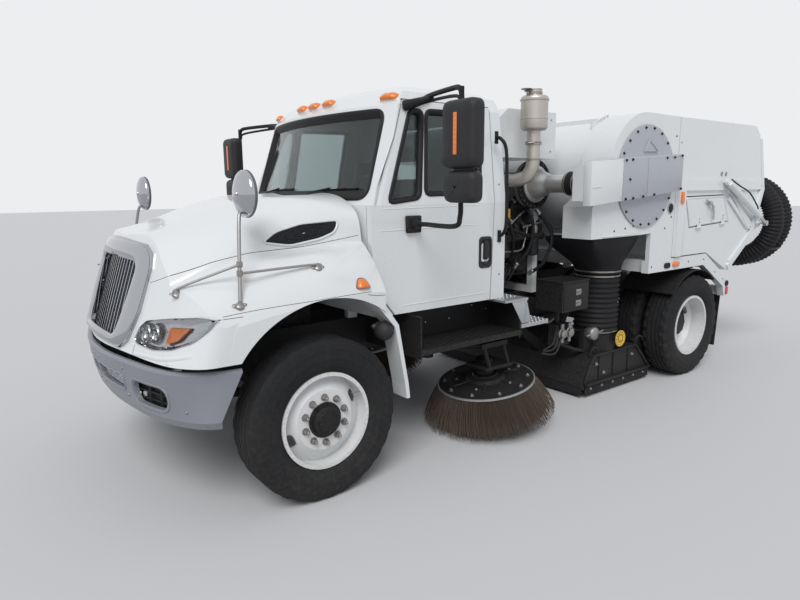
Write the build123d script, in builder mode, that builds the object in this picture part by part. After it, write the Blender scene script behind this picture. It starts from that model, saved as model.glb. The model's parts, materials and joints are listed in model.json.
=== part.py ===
from build123d import *
import os
from math import atan2, cos, hypot, radians, sin

os.makedirs("parts", exist_ok=True)

# Street sweeper truck with a tilting hopper, two gutter brooms and an air-blast pick-up head.
# Millimetres. +Z is up, the truck faces -Y and the driver sits on the +X side.
# The origin lies on the floor under the middle of the whole length.
# Most places are given as (distance behind the front axle, height), as on a side elevation.

# Driving dimensions
wheelbase = 4244
front_overhang = 1035
rear_reach = 6200
tyre_radius = 512
tyre_width = 280
front_tyre_x = 1031
rear_tyre_x = 1076
dual_spacing = 320
kingpin_x = 880
rail_outer_x = 432
rail_thickness = 52
rail_low_z = 700
rail_top_z = 950
body_half = 1190
cab_half = 985
cab_wall = 55
cab_floor_z = 1060
belt_z = 1795
cab_rear = 1700
panel_gap = 12
skin = 25
seat_gap = 0.3
hopper_front = 3780
hopper_wall = 40
deck_z = 1240

front_axle_y = (front_overhang - rear_reach) / 2
sides = (("left", 1), ("right", -1))


# Sketch planes in the truck's own directions
def side_plane(x):
    # Sketch axes: distance behind the front axle, height. Normal to the left side.
    return Plane(origin=(x, front_axle_y, 0), x_dir=(0, 1, 0), z_dir=(1, 0, 0))


def cross_plane(behind):
    # Sketch axes: across to the left, height. Normal to the front.
    return Plane(origin=(0, front_axle_y + behind, 0), x_dir=(1, 0, 0), z_dir=(0, -1, 0))


def level_plane(height):
    # Sketch axes: across to the left, distance behind the front axle. Normal up.
    return Plane(origin=(0, front_axle_y, height))


def spot(x, behind, height):
    return Vector(x, front_axle_y + behind, height)


def write(piece, name):
    piece.part.label = name
    export_step(piece.part, f"parts/{name}.step")


def bar(start, end, radius):
    # A round bar between two points, added to the part that is being built.
    along = end - start
    with BuildSketch(Plane(origin=start, z_dir=along)) as end_face:
        Circle(radius)
    extrude(end_face.sketch, amount=along.length)


def plate(x_low, x_high, outline):
    # A flat plate across the truck, from its outline in the side elevation.
    with BuildSketch(side_plane(x_low)) as profile:
        with BuildLine():
            Polyline(*outline, close=True)
        make_face()
    extrude(profile.sketch, amount=x_high - x_low)


def block(x_low, x_high, behind_low, behind_high, z_low, z_high):
    plate(
        x_low,
        x_high,
        [
            (behind_low, z_low),
            (behind_high, z_low),
            (behind_high, z_high),
            (behind_low, z_high),
        ],
    )


# Wheels
hub_z = tyre_radius
rim_seat_r = 290
rim_flange_r = 303
rim_flange_t = 12
rim_half = 106
rim_bore_r = 280
bead_gap = 0.4
shoulder_x = 104
bolt_face_r = 190
disc_t = 12
front_dish = 86
hub_r = 88
hub_nose = 34
spindle_r = 38
rear_spindle_r = 60
running_gap = 0.3
drum_r = 205
drum_length = 64
hand_hole_r = 238
hand_hole_long = 92
hand_hole_wide = 44


def wheel_plane(x, behind):
    # Sketch axes: across to the left, radius. Its origin is the middle of one tyre.
    return Plane(origin=spot(x, behind, hub_z), x_dir=(1, 0, 0), z_dir=(0, -1, 0))


def wheel_axis(behind):
    return Axis(spot(0, behind, hub_z), (1, 0, 0))


def tyre_ring(x, behind):
    low = rim_seat_r + bead_gap
    bead_x = rim_half - bead_gap
    with BuildSketch(wheel_plane(x, behind)) as profile:
        with BuildLine():
            Polyline((0, low), (bead_x, low), (bead_x, rim_flange_r + 4))
            ThreePointArc(
                (bead_x, rim_flange_r + 4),
                (tyre_width / 2, tyre_radius - 122),
                (tyre_width / 2 - 14, tyre_radius - 24),
            )
            Polyline((tyre_width / 2 - 14, tyre_radius - 24), (shoulder_x, tyre_radius), (0, tyre_radius))
            mirror(about=Plane.YZ)
        make_face()
    revolve(profile.sketch.faces(), axis=wheel_axis(behind))


def rim_barrel(x, behind):
    flange_x = rim_half + rim_flange_t
    with BuildSketch(wheel_plane(x, behind)) as profile:
        with BuildLine():
            Polyline(
                (0, rim_seat_r),
                (rim_half, rim_seat_r),
                (rim_half, rim_flange_r),
                (flange_x, rim_flange_r),
                (flange_x, rim_bore_r),
                (0, rim_bore_r),
            )
            mirror(about=Plane.YZ)
        make_face()
    revolve(profile.sketch.faces(), axis=wheel_axis(behind))


def rim_disc(x, behind, root_x, face_x):
    # The wheel disc: from the barrel at root_x to the flat bolt face at face_x.
    back = disc_t if face_x > root_x else -disc_t
    with BuildSketch(wheel_plane(x, behind)) as profile:
        with BuildLine():
            Polyline(
                (root_x, rim_bore_r + 2),
                (face_x, bolt_face_r),
                (face_x, spindle_r + 10),
                (face_x - back, spindle_r + 10),
                (face_x - back, bolt_face_r - 4),
                (root_x - back, rim_bore_r + 2),
                close=True,
            )
        make_face()
    revolve(profile.sketch.faces(), axis=wheel_axis(behind))


def hand_holes(x_low, x_high, behind):
    with BuildSketch(side_plane(x_low)) as profile:
        with Locations((behind, hub_z)):
            with PolarLocations(hand_hole_r, 2, start_angle=24):
                SlotOverall(hand_hole_long, hand_hole_wide, rotation=90)
    extrude(profile.sketch, amount=x_high - x_low, mode=Mode.SUBTRACT)


def hub_cylinder(x_low, x_high, behind, radius, mode=Mode.ADD):
    with BuildSketch(side_plane(x_low)) as profile:
        with Locations((behind, hub_z)):
            Circle(radius)
    extrude(profile.sketch, amount=x_high - x_low, mode=mode)


for side, sign in sides:
    centre_x = sign * front_tyre_x
    with BuildPart() as tyre_front:
        tyre_ring(centre_x, 0)
    write(tyre_front, f"tyre_front_{side}")

    face_x = centre_x + sign * front_dish
    with BuildPart() as rim_front:
        rim_barrel(centre_x, 0)
        rim_disc(centre_x, 0, sign * 20, sign * front_dish)
        hand_holes(centre_x, face_x + sign * 5, 0)
        hub_cylinder(centre_x - sign * 20, face_x + sign * hub_nose, 0, hub_r)
        hub_cylinder(centre_x - sign * (20 + drum_length), centre_x - sign * 20, 0, drum_r)
        hub_cylinder(
            centre_x - sign * (20 + drum_length),
            centre_x + sign * 40,
            0,
            spindle_r + running_gap,
            mode=Mode.SUBTRACT,
        )
    write(rim_front, f"rim_front_{side}")

    outer_x = sign * rear_tyre_x
    inner_x = sign * (rear_tyre_x - dual_spacing)
    joint_x = (outer_x + inner_x) / 2
    with BuildPart() as tyres_rear:
        tyre_ring(outer_x, wheelbase)
        tyre_ring(inner_x, wheelbase)
    write(tyres_rear, f"tyres_rear_{side}")

    with BuildPart() as rims_rear:
        rim_barrel(outer_x, wheelbase)
        rim_barrel(inner_x, wheelbase)
        rim_disc(outer_x, wheelbase, -sign * 40, joint_x - outer_x)
        rim_disc(inner_x, wheelbase, sign * 40, joint_x - inner_x)
        hand_holes(joint_x - sign * 80, joint_x + sign * 100, wheelbase)
        hub_cylinder(inner_x - sign * 40, joint_x, wheelbase, drum_r)
        hub_cylinder(joint_x, joint_x + sign * 130, wheelbase, hub_r + 14)
        hub_cylinder(
            inner_x - sign * 40,
            joint_x + sign * 100,
            wheelbase,
            rear_spindle_r + running_gap,
            mode=Mode.SUBTRACT,
        )
    write(rims_rear, f"rims_rear_{side}")

# Steering knuckles
boss_r = 38
boss_low_z = 457
boss_high_z = 567
yoke_gap = 5
yoke_t = 32
yoke_r = 42
yoke_plate_t = 14
yoke_plate_half = 60
spindle_reach = 38
yoke_low_z = boss_low_z - yoke_gap - yoke_t
yoke_high_z = boss_high_z + yoke_gap
yoke_plate_x = kingpin_x + boss_r + yoke_gap
kingpin_r = 16

for side, sign in sides:
    with BuildPart() as knuckle:
        for z_low in (yoke_low_z, yoke_high_z):
            with BuildSketch(level_plane(z_low)):
                with Locations((sign * kingpin_x, 0)):
                    Circle(yoke_r)
                with Locations((sign * (kingpin_x + yoke_plate_x) / 2, 0)):
                    Rectangle(yoke_plate_x - kingpin_x, 2 * yoke_r)
            extrude(amount=yoke_t)
        ends = sorted((sign * yoke_plate_x, sign * (yoke_plate_x + yoke_plate_t)))
        block(*ends, -yoke_plate_half, yoke_plate_half, yoke_low_z, yoke_high_z + yoke_t)
        hub_cylinder(sign * yoke_plate_x, sign * (front_tyre_x + spindle_reach), 0, spindle_r)
        bar(spot(sign * kingpin_x, 0, yoke_low_z), spot(sign * kingpin_x, 0, yoke_high_z + yoke_t), kingpin_r)
    write(knuckle, f"knuckle_{side}")

# Front axle beam on its leaf springs
beam_half_depth = 45
spring_x = 400
spring_half = 36
spring_half_length = 640
spring_sag = 110
spring_t = 46
spring_end_z = 622
hanger_half = 34
beam_low_z = 400
beam_high_z = 478

with BuildPart() as front_axle:
    with BuildSketch(cross_plane(-beam_half_depth)):
        with BuildLine():
            Polyline(
                (0, beam_low_z),
                (690, beam_low_z),
                (kingpin_x - 60, boss_low_z),
                (kingpin_x, boss_low_z),
                (kingpin_x, boss_high_z),
                (kingpin_x - 90, boss_high_z - 10),
                (640, beam_high_z),
                (0, beam_high_z),
            )
            mirror(about=Plane.YZ)
        make_face()
    extrude(amount=-2 * beam_half_depth)
    # The beam is cut back round its bosses, so that the knuckles swing clear.
    for _, sign in sides:
        with BuildSketch(level_plane(boss_low_z)):
            with Locations((sign * (kingpin_x + yoke_r), 0)):
                Rectangle(2 * yoke_r + boss_r, 4 * yoke_r)
        extrude(amount=boss_high_z - boss_low_z, mode=Mode.SUBTRACT)
        with BuildSketch(level_plane(boss_low_z)):
            with Locations((sign * kingpin_x, 0)):
                Circle(boss_r)
        extrude(amount=boss_high_z - boss_low_z)
        with BuildSketch(level_plane(boss_low_z)):
            with Locations((sign * kingpin_x, 0)):
                Circle(kingpin_r + running_gap)
        extrude(amount=boss_high_z - boss_low_z, mode=Mode.SUBTRACT)
        # The leaf pack and its two hangers under the frame rail
        with BuildSketch(side_plane(sign * spring_x - spring_half)):
            with BuildLine():
                Line((-spring_half_length, spring_end_z), (-spring_half_length, spring_end_z + spring_t))
                ThreePointArc(
                    (-spring_half_length, spring_end_z + spring_t),
                    (0, spring_end_z + spring_t - spring_sag),
                    (spring_half_length, spring_end_z + spring_t),
                )
                Line((spring_half_length, spring_end_z + spring_t), (spring_half_length, spring_end_z))
                ThreePointArc(
                    (spring_half_length, spring_end_z),
                    (0, spring_end_z - spring_sag),
                    (-spring_half_length, spring_end_z),
                )
            make_face()
        extrude(amount=2 * spring_half)
        ends = (sign * spring_x - spring_half, sign * spring_x + spring_half)
        for place in (-spring_half_length, spring_half_length):
            block(*ends, place - hanger_half, place + hanger_half, spring_end_z, rail_low_z)
        block(*ends, -90, 90, beam_high_z - 2, spring_end_z + spring_t - spring_sag)
write(front_axle, "front_axle")

# Driven rear axle, its springs and the propeller shaft
axle_tube_r = 74
axle_bowl_r = 178
rear_drum_face_x = rear_tyre_x - dual_spacing - 40
spring_rise = 60
rear_spring_z = 612
shaft_r = 44
gearbox_end = 1290
gearbox_z = 700

with BuildPart() as rear_axle:
    hub_cylinder(-(rear_drum_face_x - 8), rear_drum_face_x - 8, wheelbase, axle_tube_r)
    spindle_end = rear_drum_face_x + 270
    hub_cylinder(-spindle_end, spindle_end, wheelbase, rear_spindle_r)
    with Locations(spot(0, wheelbase, hub_z)):
        Sphere(axle_bowl_r)
    bar(spot(0, gearbox_end + 6, gearbox_z), spot(0, wheelbase - 120, hub_z + 24), shaft_r)
    for _, sign in sides:
        ends = (sign * spring_x - spring_half, sign * spring_x + spring_half)
        with BuildSketch(side_plane(ends[0])):
            with BuildLine():
                Line((wheelbase - 620, rear_spring_z), (wheelbase - 620, rear_spring_z + spring_t))
                ThreePointArc(
                    (wheelbase - 620, rear_spring_z + spring_t),
                    (wheelbase, rear_spring_z + spring_t - spring_rise),
                    (wheelbase + 560, rear_spring_z + spring_t),
                )
                Line((wheelbase + 560, rear_spring_z + spring_t), (wheelbase + 560, rear_spring_z))
                ThreePointArc(
                    (wheelbase + 560, rear_spring_z),
                    (wheelbase, rear_spring_z - spring_rise - 40),
                    (wheelbase - 620, rear_spring_z),
                )
            make_face()
        extrude(amount=2 * spring_half)
        for place in (wheelbase - 620, wheelbase + 560):
            block(*ends, place - hanger_half, place + hanger_half, rear_spring_z, rail_low_z)
write(rear_axle, "rear_axle")

# Frame rails with the stub pins that the hood tilts on
rail_front = -925
rail_rear = 4985
hood_pivot = (-868, 724)
pivot_pin_r = 20
pivot_pin_x = 620

with BuildPart() as frame_rails:
    for _, sign in sides:
        inner_x = sign * (rail_outer_x - rail_thickness)
        ends = sorted((inner_x, sign * rail_outer_x))
        block(*ends, rail_front, rail_rear, rail_low_z, rail_top_z)
        # The channel is open towards the middle of the truck.
        web = 12
        hollow = sorted((inner_x - sign, sign * (rail_outer_x - web)))
        with BuildSketch(side_plane(hollow[0])):
            with Locations(((rail_front + rail_rear) / 2, (rail_low_z + rail_top_z) / 2)):
                Rectangle(rail_rear - rail_front + 2, rail_top_z - rail_low_z - 2 * web)
        extrude(amount=hollow[1] - hollow[0], mode=Mode.SUBTRACT)
        start = spot(sign * (rail_outer_x - 4), *hood_pivot)
        bar(start, spot(sign * pivot_pin_x, *hood_pivot), pivot_pin_r)
write(frame_rails, "frame_rails")

# Cross members, the hoist's foot and the pivot shaft of the hopper
member_half = rail_outer_x - 12 - seat_gap
hoist_foot = (3500, 850)
hoist_ear_x = 62
pin_r = 18
hopper_pivot = (4866, 985)
hopper_pin_r = 30
hopper_hole_r = 30.8
member_low_z = 770
member_high_z = 928
member_places = (-800, 1480, 2250, 3330, 4700)
member_length = 90

tow_plate_behind = 4925
tow_plate_t = 20
tow_plate_height = 210
tow_bolt_z = 825
tow_bolt_spacing = (110, 90)
tow_bolt_r = 9

with BuildPart() as cross_members:
    for place in member_places:
        block(-member_half, member_half, place, place + member_length, member_low_z, member_high_z)
    for _, sign in sides:
        ends = sorted((sign * hoist_ear_x, sign * (hoist_ear_x + 22)))
        ear = [
            (member_places[3] + member_length - 2, member_low_z + 10),
            (hoist_foot[0] + 40, hoist_foot[1] - 40),
            (hoist_foot[0] + 40, hoist_foot[1] + 40),
            (member_places[3] + member_length - 2, member_high_z - 4),
        ]
        plate(*ends, ear)
    bar(spot(-hoist_ear_x - 2, *hoist_foot), spot(hoist_ear_x + 2, *hoist_foot), pin_r)
    # End plate with four bolt holes for a tow hook
    with BuildSketch(cross_plane(tow_plate_behind)) as tow_plate:
        with Locations((0, tow_bolt_z)):
            Rectangle(2 * member_half, tow_plate_height)
            with GridLocations(*tow_bolt_spacing, 2, 2):
                Circle(tow_bolt_r, mode=Mode.SUBTRACT)
    extrude(tow_plate.sketch, amount=tow_plate_t)
write(cross_members, "cross_members")

# Truck engine with its gearbox and radiator, as plain blocks at their real places
with BuildPart() as truck_engine:
    block(-300, 300, -520, 380, 650, 1400)
    block(-210, 210, 380, gearbox_end, 620, 900)
    # Mounts and the radiator seat on the rails.
    rail_inner_x = rail_outer_x - rail_thickness - seat_gap
    block(-rail_inner_x, rail_inner_x, -120, 0, rail_top_z - 90, rail_top_z)
    block(-rail_inner_x, rail_inner_x, -690, -620, rail_low_z + 60, 1440)
write(truck_engine, "truck_engine")

# Front bumper: a curved shell with rounded edges, two slots and two lamp openings
bumper_high = (
    (0, -front_overhang),
    (200, -1028),
    (430, -992),
    (630, -950),
    (814, -900),
    (945, -835),
    (1052, -724),
    (1104, -604),
    (1120, -511),
)
bumper_low = ((0, -985), (290, -968), (568, -930), (787, -880), (963, -800), (1060, -725), (1105, -640))
bumper_levels = (
    # height, plan, set back
    (930, bumper_high, 14),
    (912, bumper_high, 0),
    (645, bumper_low, 0),
    (600, bumper_low, 26),
)
bumper_wall = 28
bumper_slot = (400, 78)
bumper_slot_x = 225
bumper_slot_z = 775
fog_opening = (320, 128)
fog_x = 715
fog_z = 756
bumper_bracket = (380, 436, -956, 730, 880)


def inset_points(points, inset):
    # The plan's points moved square to it, towards the inside.
    moved = []
    for number, (x, behind) in enumerate(points):
        before = points[max(number - 1, 0)]
        after = points[min(number + 1, len(points) - 1)]
        run = Vector(after[0] - before[0], after[1] - before[1]).normalized()
        moved.append((0 if x == 0 else x - inset * run.Y, behind + inset * run.X))
    return moved


def bumper_form(wall, spill):
    # The bumper's outer form, or with a wall the hollow behind it.
    outlines = []
    for height, plan, set_back in bumper_levels:
        level = height + (spill if height > bumper_slot_z else -spill)
        points = inset_points(plan, set_back + wall)
        rear = points[-1][1] + 4 * spill
        with BuildSketch(level_plane(level)) as outline:
            with BuildLine():
                Spline(*points, tangents=((1, 0), (0.2, 1)))
                Polyline(points[-1], (points[-1][0], rear + 1), (0, rear + 1))
                mirror(about=Plane.YZ)
            make_face()
        outlines.append(outline.sketch)
    with BuildPart() as form:
        loft(outlines, ruled=True)
    return form.part


with BuildPart() as front_bumper:
    add(bumper_form(0, 0))
    add(bumper_form(bumper_wall, 15), mode=Mode.SUBTRACT)
    with BuildSketch(cross_plane(-front_overhang - 20)) as openings:
        with Locations((bumper_slot_x, bumper_slot_z), (-bumper_slot_x, bumper_slot_z)):
            RectangleRounded(*bumper_slot, 20)
        with Locations((fog_x, fog_z), (-fog_x, fog_z)):
            RectangleRounded(*fog_opening, 56)
    extrude(openings.sketch, amount=-280, mode=Mode.SUBTRACT)
    for _, sign in sides:
        ends = sorted((sign * bumper_bracket[0], sign * bumper_bracket[1]))
        block(*ends, bumper_bracket[2], rail_front, *bumper_bracket[3:])
write(front_bumper, "front_bumper")

# Cab: one hollow form from level sections, which the doors and windows are cut out of
cab_lower_sections = (
    # height, half width, front corner, front middle
    (cab_floor_z, cab_half, 500, 470),
    (belt_z, cab_half, 480, 400),
)
cab_upper_sections = (
    (belt_z, cab_half, 556, 410),
    (2452, 900, 752, 590),
    (2545, 846, 830, 690),
    (2604, 690, 960, 850),
)


def cab_section(height, half, corner, middle, inset):
    with BuildSketch(level_plane(height)) as section:
        with BuildLine():
            Polyline(
                (half - inset, corner + inset),
                (half - inset, cab_rear - inset),
                (inset - half, cab_rear - inset),
                (inset - half, corner + inset),
            )
            ThreePointArc(
                (inset - half, corner + inset),
                (0, middle + inset),
                (half - inset, corner + inset),
            )
        make_face()
    return section.sketch


def cab_form(inset):
    lower = []
    for height, half, corner, middle in cab_lower_sections:
        rise = inset if height == cab_floor_z else -inset
        lower.append(cab_section(height + rise, half, corner, middle, inset))
    upper = []
    for height, half, corner, middle in cab_upper_sections:
        drop = max(0, 2 * inset) if height == belt_z else inset * 0.6
        upper.append(cab_section(height - drop, half, corner, middle, inset))
    with BuildPart() as form:
        loft(lower, ruled=True)
        loft(upper, ruled=True)
    return form.part


# The side wall leans in above the belt, and so do the door and its windows.
lean_run = cab_half - cab_upper_sections[1][1]
lean_rise = cab_upper_sections[1][0] - belt_z
lean_length = hypot(lean_run, lean_rise)


def lean_plane(sign, depth):
    # Sketch axes: distance behind the front axle, height above the belt along the wall.
    out = Vector(sign * lean_rise / lean_length, 0, lean_run / lean_length)
    origin = spot(sign * cab_half, 0, belt_z) - out * depth
    return Plane(origin=origin, x_dir=(0, 1, 0), z_dir=out)


door_t = 50
door_lower = ((643, 1062), (1545, 1062), (1576, belt_z), (458, belt_z), (470, 1276))
door_upper = ((532, -6), (1576, -6), (1590, 690), (792, 690))
vent_window = ((600, 12), (868, 40), (950, 628), (838, 628))
main_window = ((916, 62), (1436, 70), (1502, 640), (980, 632))
hinge_behind = 449
hinge_x = cab_half - 6.5
hinge_r = 6.5
hinge_pin_r = 3.5
hinge_knuckle = 18
hinge_spans = ((1300, 1356), (1416, 1472))
hinge_leaf_x = 890
hinge_leaf_t = 6
cab_mount_places = (620, 1560)
cab_mount_length = 80
glass_t = 6


def hinge_bar(sign, z_low, z_high, radius):
    bar(spot(sign * hinge_x, hinge_behind, z_low), spot(sign * hinge_x, hinge_behind, z_high), radius)


def flip(sign, points):
    # On the right side the leaning plane's second axis points down.
    return [(behind, sign * up) for behind, up in points]


def door_slab(sign, grow):
    with BuildPart() as slab:
        with BuildSketch(side_plane(sign * (cab_half + grow * 2))):
            with BuildLine():
                Polyline(*door_lower, close=True)
            make_face()
            if grow:
                offset(amount=grow, kind=Kind.INTERSECTION)
        extrude(amount=-sign * (door_t + grow * 4))
        with BuildSketch(lean_plane(sign, -grow * 2)):
            with BuildLine():
                Polyline(*flip(sign, door_upper), close=True)
            make_face()
            if grow:
                offset(amount=grow, kind=Kind.INTERSECTION)
        extrude(amount=-(door_t + grow * 4))
    return slab.part


windshield_outline = ((-836, 1838), (836, 1838), (806, 2418), (-806, 2418))
rear_window = (1240, 420)
rear_window_z = 2190


def window_blocks(shrink):
    # What the windshield and the rear window fill, seen along the truck.
    with BuildPart() as blocks:
        with BuildSketch(cross_plane(300)) as windshield_area:
            with BuildLine():
                Polyline(*windshield_outline, close=True)
            make_face()
            fillet(windshield_area.vertices(), 60)
            if shrink:
                offset(amount=-shrink)
        extrude(amount=-560)
        with BuildSketch(cross_plane(cab_rear - 80)):
            with Locations((0, rear_window_z)):
                RectangleRounded(rear_window[0] - 2 * shrink, rear_window[1] - 2 * shrink, 60)
        extrude(amount=-100)
    return blocks.part


with BuildPart() as cab_shell:
    add(cab_form(0))
    add(cab_form(cab_wall), mode=Mode.SUBTRACT)
    for _, sign in sides:
        add(door_slab(sign, panel_gap), mode=Mode.SUBTRACT)
    add(window_blocks(0), mode=Mode.SUBTRACT)
    for _, sign in sides:
        mount = sorted((sign * (rail_outer_x - rail_thickness + 4), sign * rail_outer_x))
        for place in cab_mount_places:
            block(*mount, place, place + cab_mount_length, rail_top_z + seat_gap, cab_floor_z + 1)
        # Hinge leaves reach from the shell's front wall into the seam ahead of each door.
        leaf = sorted((sign * hinge_leaf_x, sign * (hinge_x - hinge_pin_r / 2)))
        web = sorted((sign * (hinge_leaf_x - 20), sign * (hinge_leaf_x + 6)))
        for z_low, z_high in hinge_spans:
            for low, high in ((z_low, z_low + hinge_knuckle), (z_high - hinge_knuckle, z_high)):
                hinge_bar(sign, low, high, hinge_r)
                block(*leaf, hinge_behind - hinge_leaf_t / 2, hinge_behind + hinge_leaf_t / 2, low, high)
            block(*web, hinge_behind - hinge_leaf_t / 2, cab_lower_sections[0][2] + 6, z_low, z_high)
            hinge_bar(sign, z_low, z_high, hinge_pin_r)
write(cab_shell, "cab_shell")

# Windshield and rear window
with BuildPart() as cab_glass:
    add(cab_form(18))
    add(cab_form(18 + glass_t), mode=Mode.SUBTRACT)
    add(window_blocks(seat_gap), mode=Mode.INTERSECT)
write(cab_glass, "cab_glass")

# Cab interior: two seats, the dashboard and the steering wheel
seat_base_z = cab_floor_z + cab_wall
with BuildPart() as cab_interior:
    for _, sign in sides:
        ends = (sign * 480 - 250, sign * 480 + 250)
        block(*ends, 1010, 1480, seat_base_z, 1500)
        plate(*ends, [(1440, 1500), (1540, 1500), (1610, 2130), (1520, 2130)])
    block(-880, 880, 560, 700, seat_base_z, belt_z - cab_wall - 5)
    bar(spot(480, 690, 1700), spot(480, 850, 1790), 30)
    with BuildSketch(Plane(origin=spot(480, 850, 1790), z_dir=(0, 160, 90))):
        Circle(225)
        Circle(200, mode=Mode.SUBTRACT)
        Rectangle(420, 40)
    extrude(amount=26)
write(cab_interior, "cab_interior")

# Cab doors, their glass and their mirrors
mirror_arm_r = 16
mirror_head_x = (1490, 1765)
mirror_head_behind = (585, 690)

for side, sign in sides:
    with BuildPart() as cab_door:
        add(door_slab(sign, 0))
        for window in (vent_window, main_window):
            with BuildSketch(lean_plane(sign, -20)):
                with BuildLine():
                    Polyline(*flip(sign, window), close=True)
                make_face()
            extrude(amount=-door_t - 60, mode=Mode.SUBTRACT)
        # Knuckles between the shell's hinge leaves
        for z_low, z_high in hinge_spans:
            low = z_low + hinge_knuckle + seat_gap
            high = z_high - hinge_knuckle - seat_gap
            hinge_bar(sign, low, high, hinge_r)
            tab = sorted((sign * (hinge_x - hinge_r), sign * (hinge_x + hinge_r)))
            block(*tab, hinge_behind, door_lower[4][0] + 8, low, high)
            with BuildSketch(level_plane(low - 1)) as bore:
                with Locations((sign * hinge_x, hinge_behind)):
                    Circle(hinge_pin_r + running_gap)
            extrude(bore.sketch, amount=high - low + 2, mode=Mode.SUBTRACT)
    write(cab_door, f"cab_door_{side}")

    with BuildPart() as door_glass:
        for window in (vent_window, main_window):
            with BuildSketch(lean_plane(sign, door_t / 2)):
                with BuildLine():
                    Polyline(*flip(sign, window), close=True)
                make_face()
                offset(amount=-seat_gap, kind=Kind.INTERSECTION)
            extrude(amount=-glass_t)
    write(door_glass, f"door_glass_{side}")

    with BuildPart() as door_mirror:
        head = sorted((sign * mirror_head_x[0], sign * mirror_head_x[1]))
        block(*head, *mirror_head_behind, 2008, 2390)
        block(head[0] + 8, head[1] - 8, *mirror_head_behind, 1815, 2000)
        foot = sorted((sign * (cab_half + seat_gap), sign * (cab_half + 26)))
        block(*foot, 730, 860, 1606, 1722)
        middle_x = sign * 1560
        behind = 700
        bar(spot(sign * (cab_half + 20), 795, 1664), spot(sign * 1130, 780, 1672), mirror_arm_r)
        bar(spot(sign * 1130, 780, 1672), spot(middle_x, behind, 1776), mirror_arm_r)
        bar(spot(middle_x, behind, 1776), spot(middle_x, behind, 2540), mirror_arm_r)
        bar(spot(middle_x, behind, 2540), spot(sign * 1130, 860, 2560), mirror_arm_r)
        bar(spot(sign * 1130, 860, 2560), spot(sign * 915, 930, 2470), mirror_arm_r)
        for joint in (
            spot(sign * 1130, 780, 1672),
            spot(middle_x, behind, 1776),
            spot(middle_x, behind, 2540),
            spot(sign * 1130, 860, 2560),
        ):
            with Locations(joint):
                Sphere(mirror_arm_r)
        add(door_slab(sign, 0), mode=Mode.SUBTRACT)
    write(door_mirror, f"door_mirror_{side}")

# Hood: it tilts forward with the fenders, the grille, the lamps and its own mirrors
hood_rear = 440
hood_low_z = 965
hood_sections = (
    # behind, low x, side (x, z), fender top (x, z), crease (x, z), shoulder (x, z), top edge (x, z), crown z
    (-1040, 1131, (1131, 1080), (1060, 1180), (720, 1290), (560, 1440), (440, 1520), 1570),
    (-800, 1131, (1131, 1110), (1080, 1215), (780, 1360), (600, 1500), (500, 1580), 1625),
    (-480, 1140, (1145, 1180), (1110, 1275), (830, 1480), (740, 1590), (610, 1660), 1723),
    (-230, 1160, (1165, 1225), (1130, 1320), (845, 1520), (800, 1640), (680, 1730), 1800),
    (60, 1172, (1175, 1262), (1130, 1370), (860, 1545), (830, 1680), (740, 1780), 1834),
    (hood_rear, 1160, (1165, 1262), (1110, 1350), (900, 1566), (860, 1720), (790, 1788), 1857),
)
arch_middle = (40, 600)
arch_r = 668
nose_plan = (
    (0, -1012),
    (200, -1000),
    (460, -958),
    (660, -925),
    (860, -883),
    (1000, -830),
    (1100, -745),
    (1135, -600),
)
nose_levels = ((hood_low_z - 5, 0), (1900, 300))
nose_lean = atan2(nose_levels[1][1], nose_levels[1][0] - nose_levels[0][0])


def hood_section(row, inset):
    # A plain fender wall, the fender's round top, and the hood's side and crown above the crease
    behind, low_x, side, top, crease, shoulder, edge, crown = row
    side_at = (side[0] - inset, side[1] - inset / 2)
    crease_at = (crease[0] - inset, crease[1] - inset)
    with BuildSketch(cross_plane(behind)) as section:
        with BuildLine():
            Polyline((0, hood_low_z - inset), (low_x - inset, hood_low_z - inset), side_at)
            Spline(side_at, (top[0] - inset, top[1] - inset), crease_at)
            Spline(
                crease_at,
                (shoulder[0] - inset, shoulder[1] - inset / 2),
                (edge[0] - inset, edge[1] - inset),
                (0, crown - inset),
                tangents=((-0.3, 1), (-1, 0)),
                tangent_scalars=(0.5, 1),
            )
            mirror(about=Plane.YZ)
        make_face()
    return section.sketch


def nose_section(height, lean, inset):
    points = [(x, behind + lean) for x, behind in inset_points(nose_plan, inset)]
    with BuildSketch(level_plane(height)) as section:
        with BuildLine():
            Spline(*points, tangents=((1, 0), (0, 1)))
            Polyline(points[-1], (1400, points[-1][1]), (1400, 1000), (0, 1000))
            mirror(about=Plane.YZ)
        make_face()
    return section.sketch


def hood_form(inset):
    with BuildPart() as form:
        loft([hood_section(row, inset) for row in hood_sections])
        loft([nose_section(*row, inset) for row in nose_levels], ruled=True, mode=Mode.INTERSECT)
    return form.part


splash = ((352, 1262), (382, 1257), (550, 1033), (628, 622), (640, 521), (612, 521), (600, 622), (522, 1020))
splash_x = (cab_half + 14, 1150)

# Grille in its broad surround, bowed like the nose and leaning with it
grille_foot = (-1010, 996)
grille_proud = 14
bow_r = 2050
surround_outline = ((0, 0), (400, 0), (478, 60), (535, 240), (545, 500), (515, 590), (420, 634), (0, 648))
grille_outline = ((0, 56), (290, 56), (330, 90), (372, 300), (400, 470), (375, 508), (330, 520), (0, 530))
surround_depth = 60
slat_count = 17
slat_spread = 385
slat_t = 9
slat_z = (20, 560)


def grille_plane(forward):
    # Sketch axes: across to the left, up along the grille. Normal forwards and up.
    out = Vector(0, -cos(nose_lean), sin(nose_lean))
    return Plane(origin=spot(0, *grille_foot) + out * forward, x_dir=(1, 0, 0), z_dir=out)


def grille_block(outline, grow):
    # What an outline fills, seen along the grille's own normal.
    with BuildPart() as area:
        with BuildSketch(grille_plane(80)) as face:
            with BuildLine():
                Polyline(*outline)
                mirror(about=Plane.YZ)
            make_face()
            if grow:
                offset(amount=grow, kind=Kind.INTERSECTION)
        extrude(face.sketch, amount=-260)
    return area.part


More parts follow.
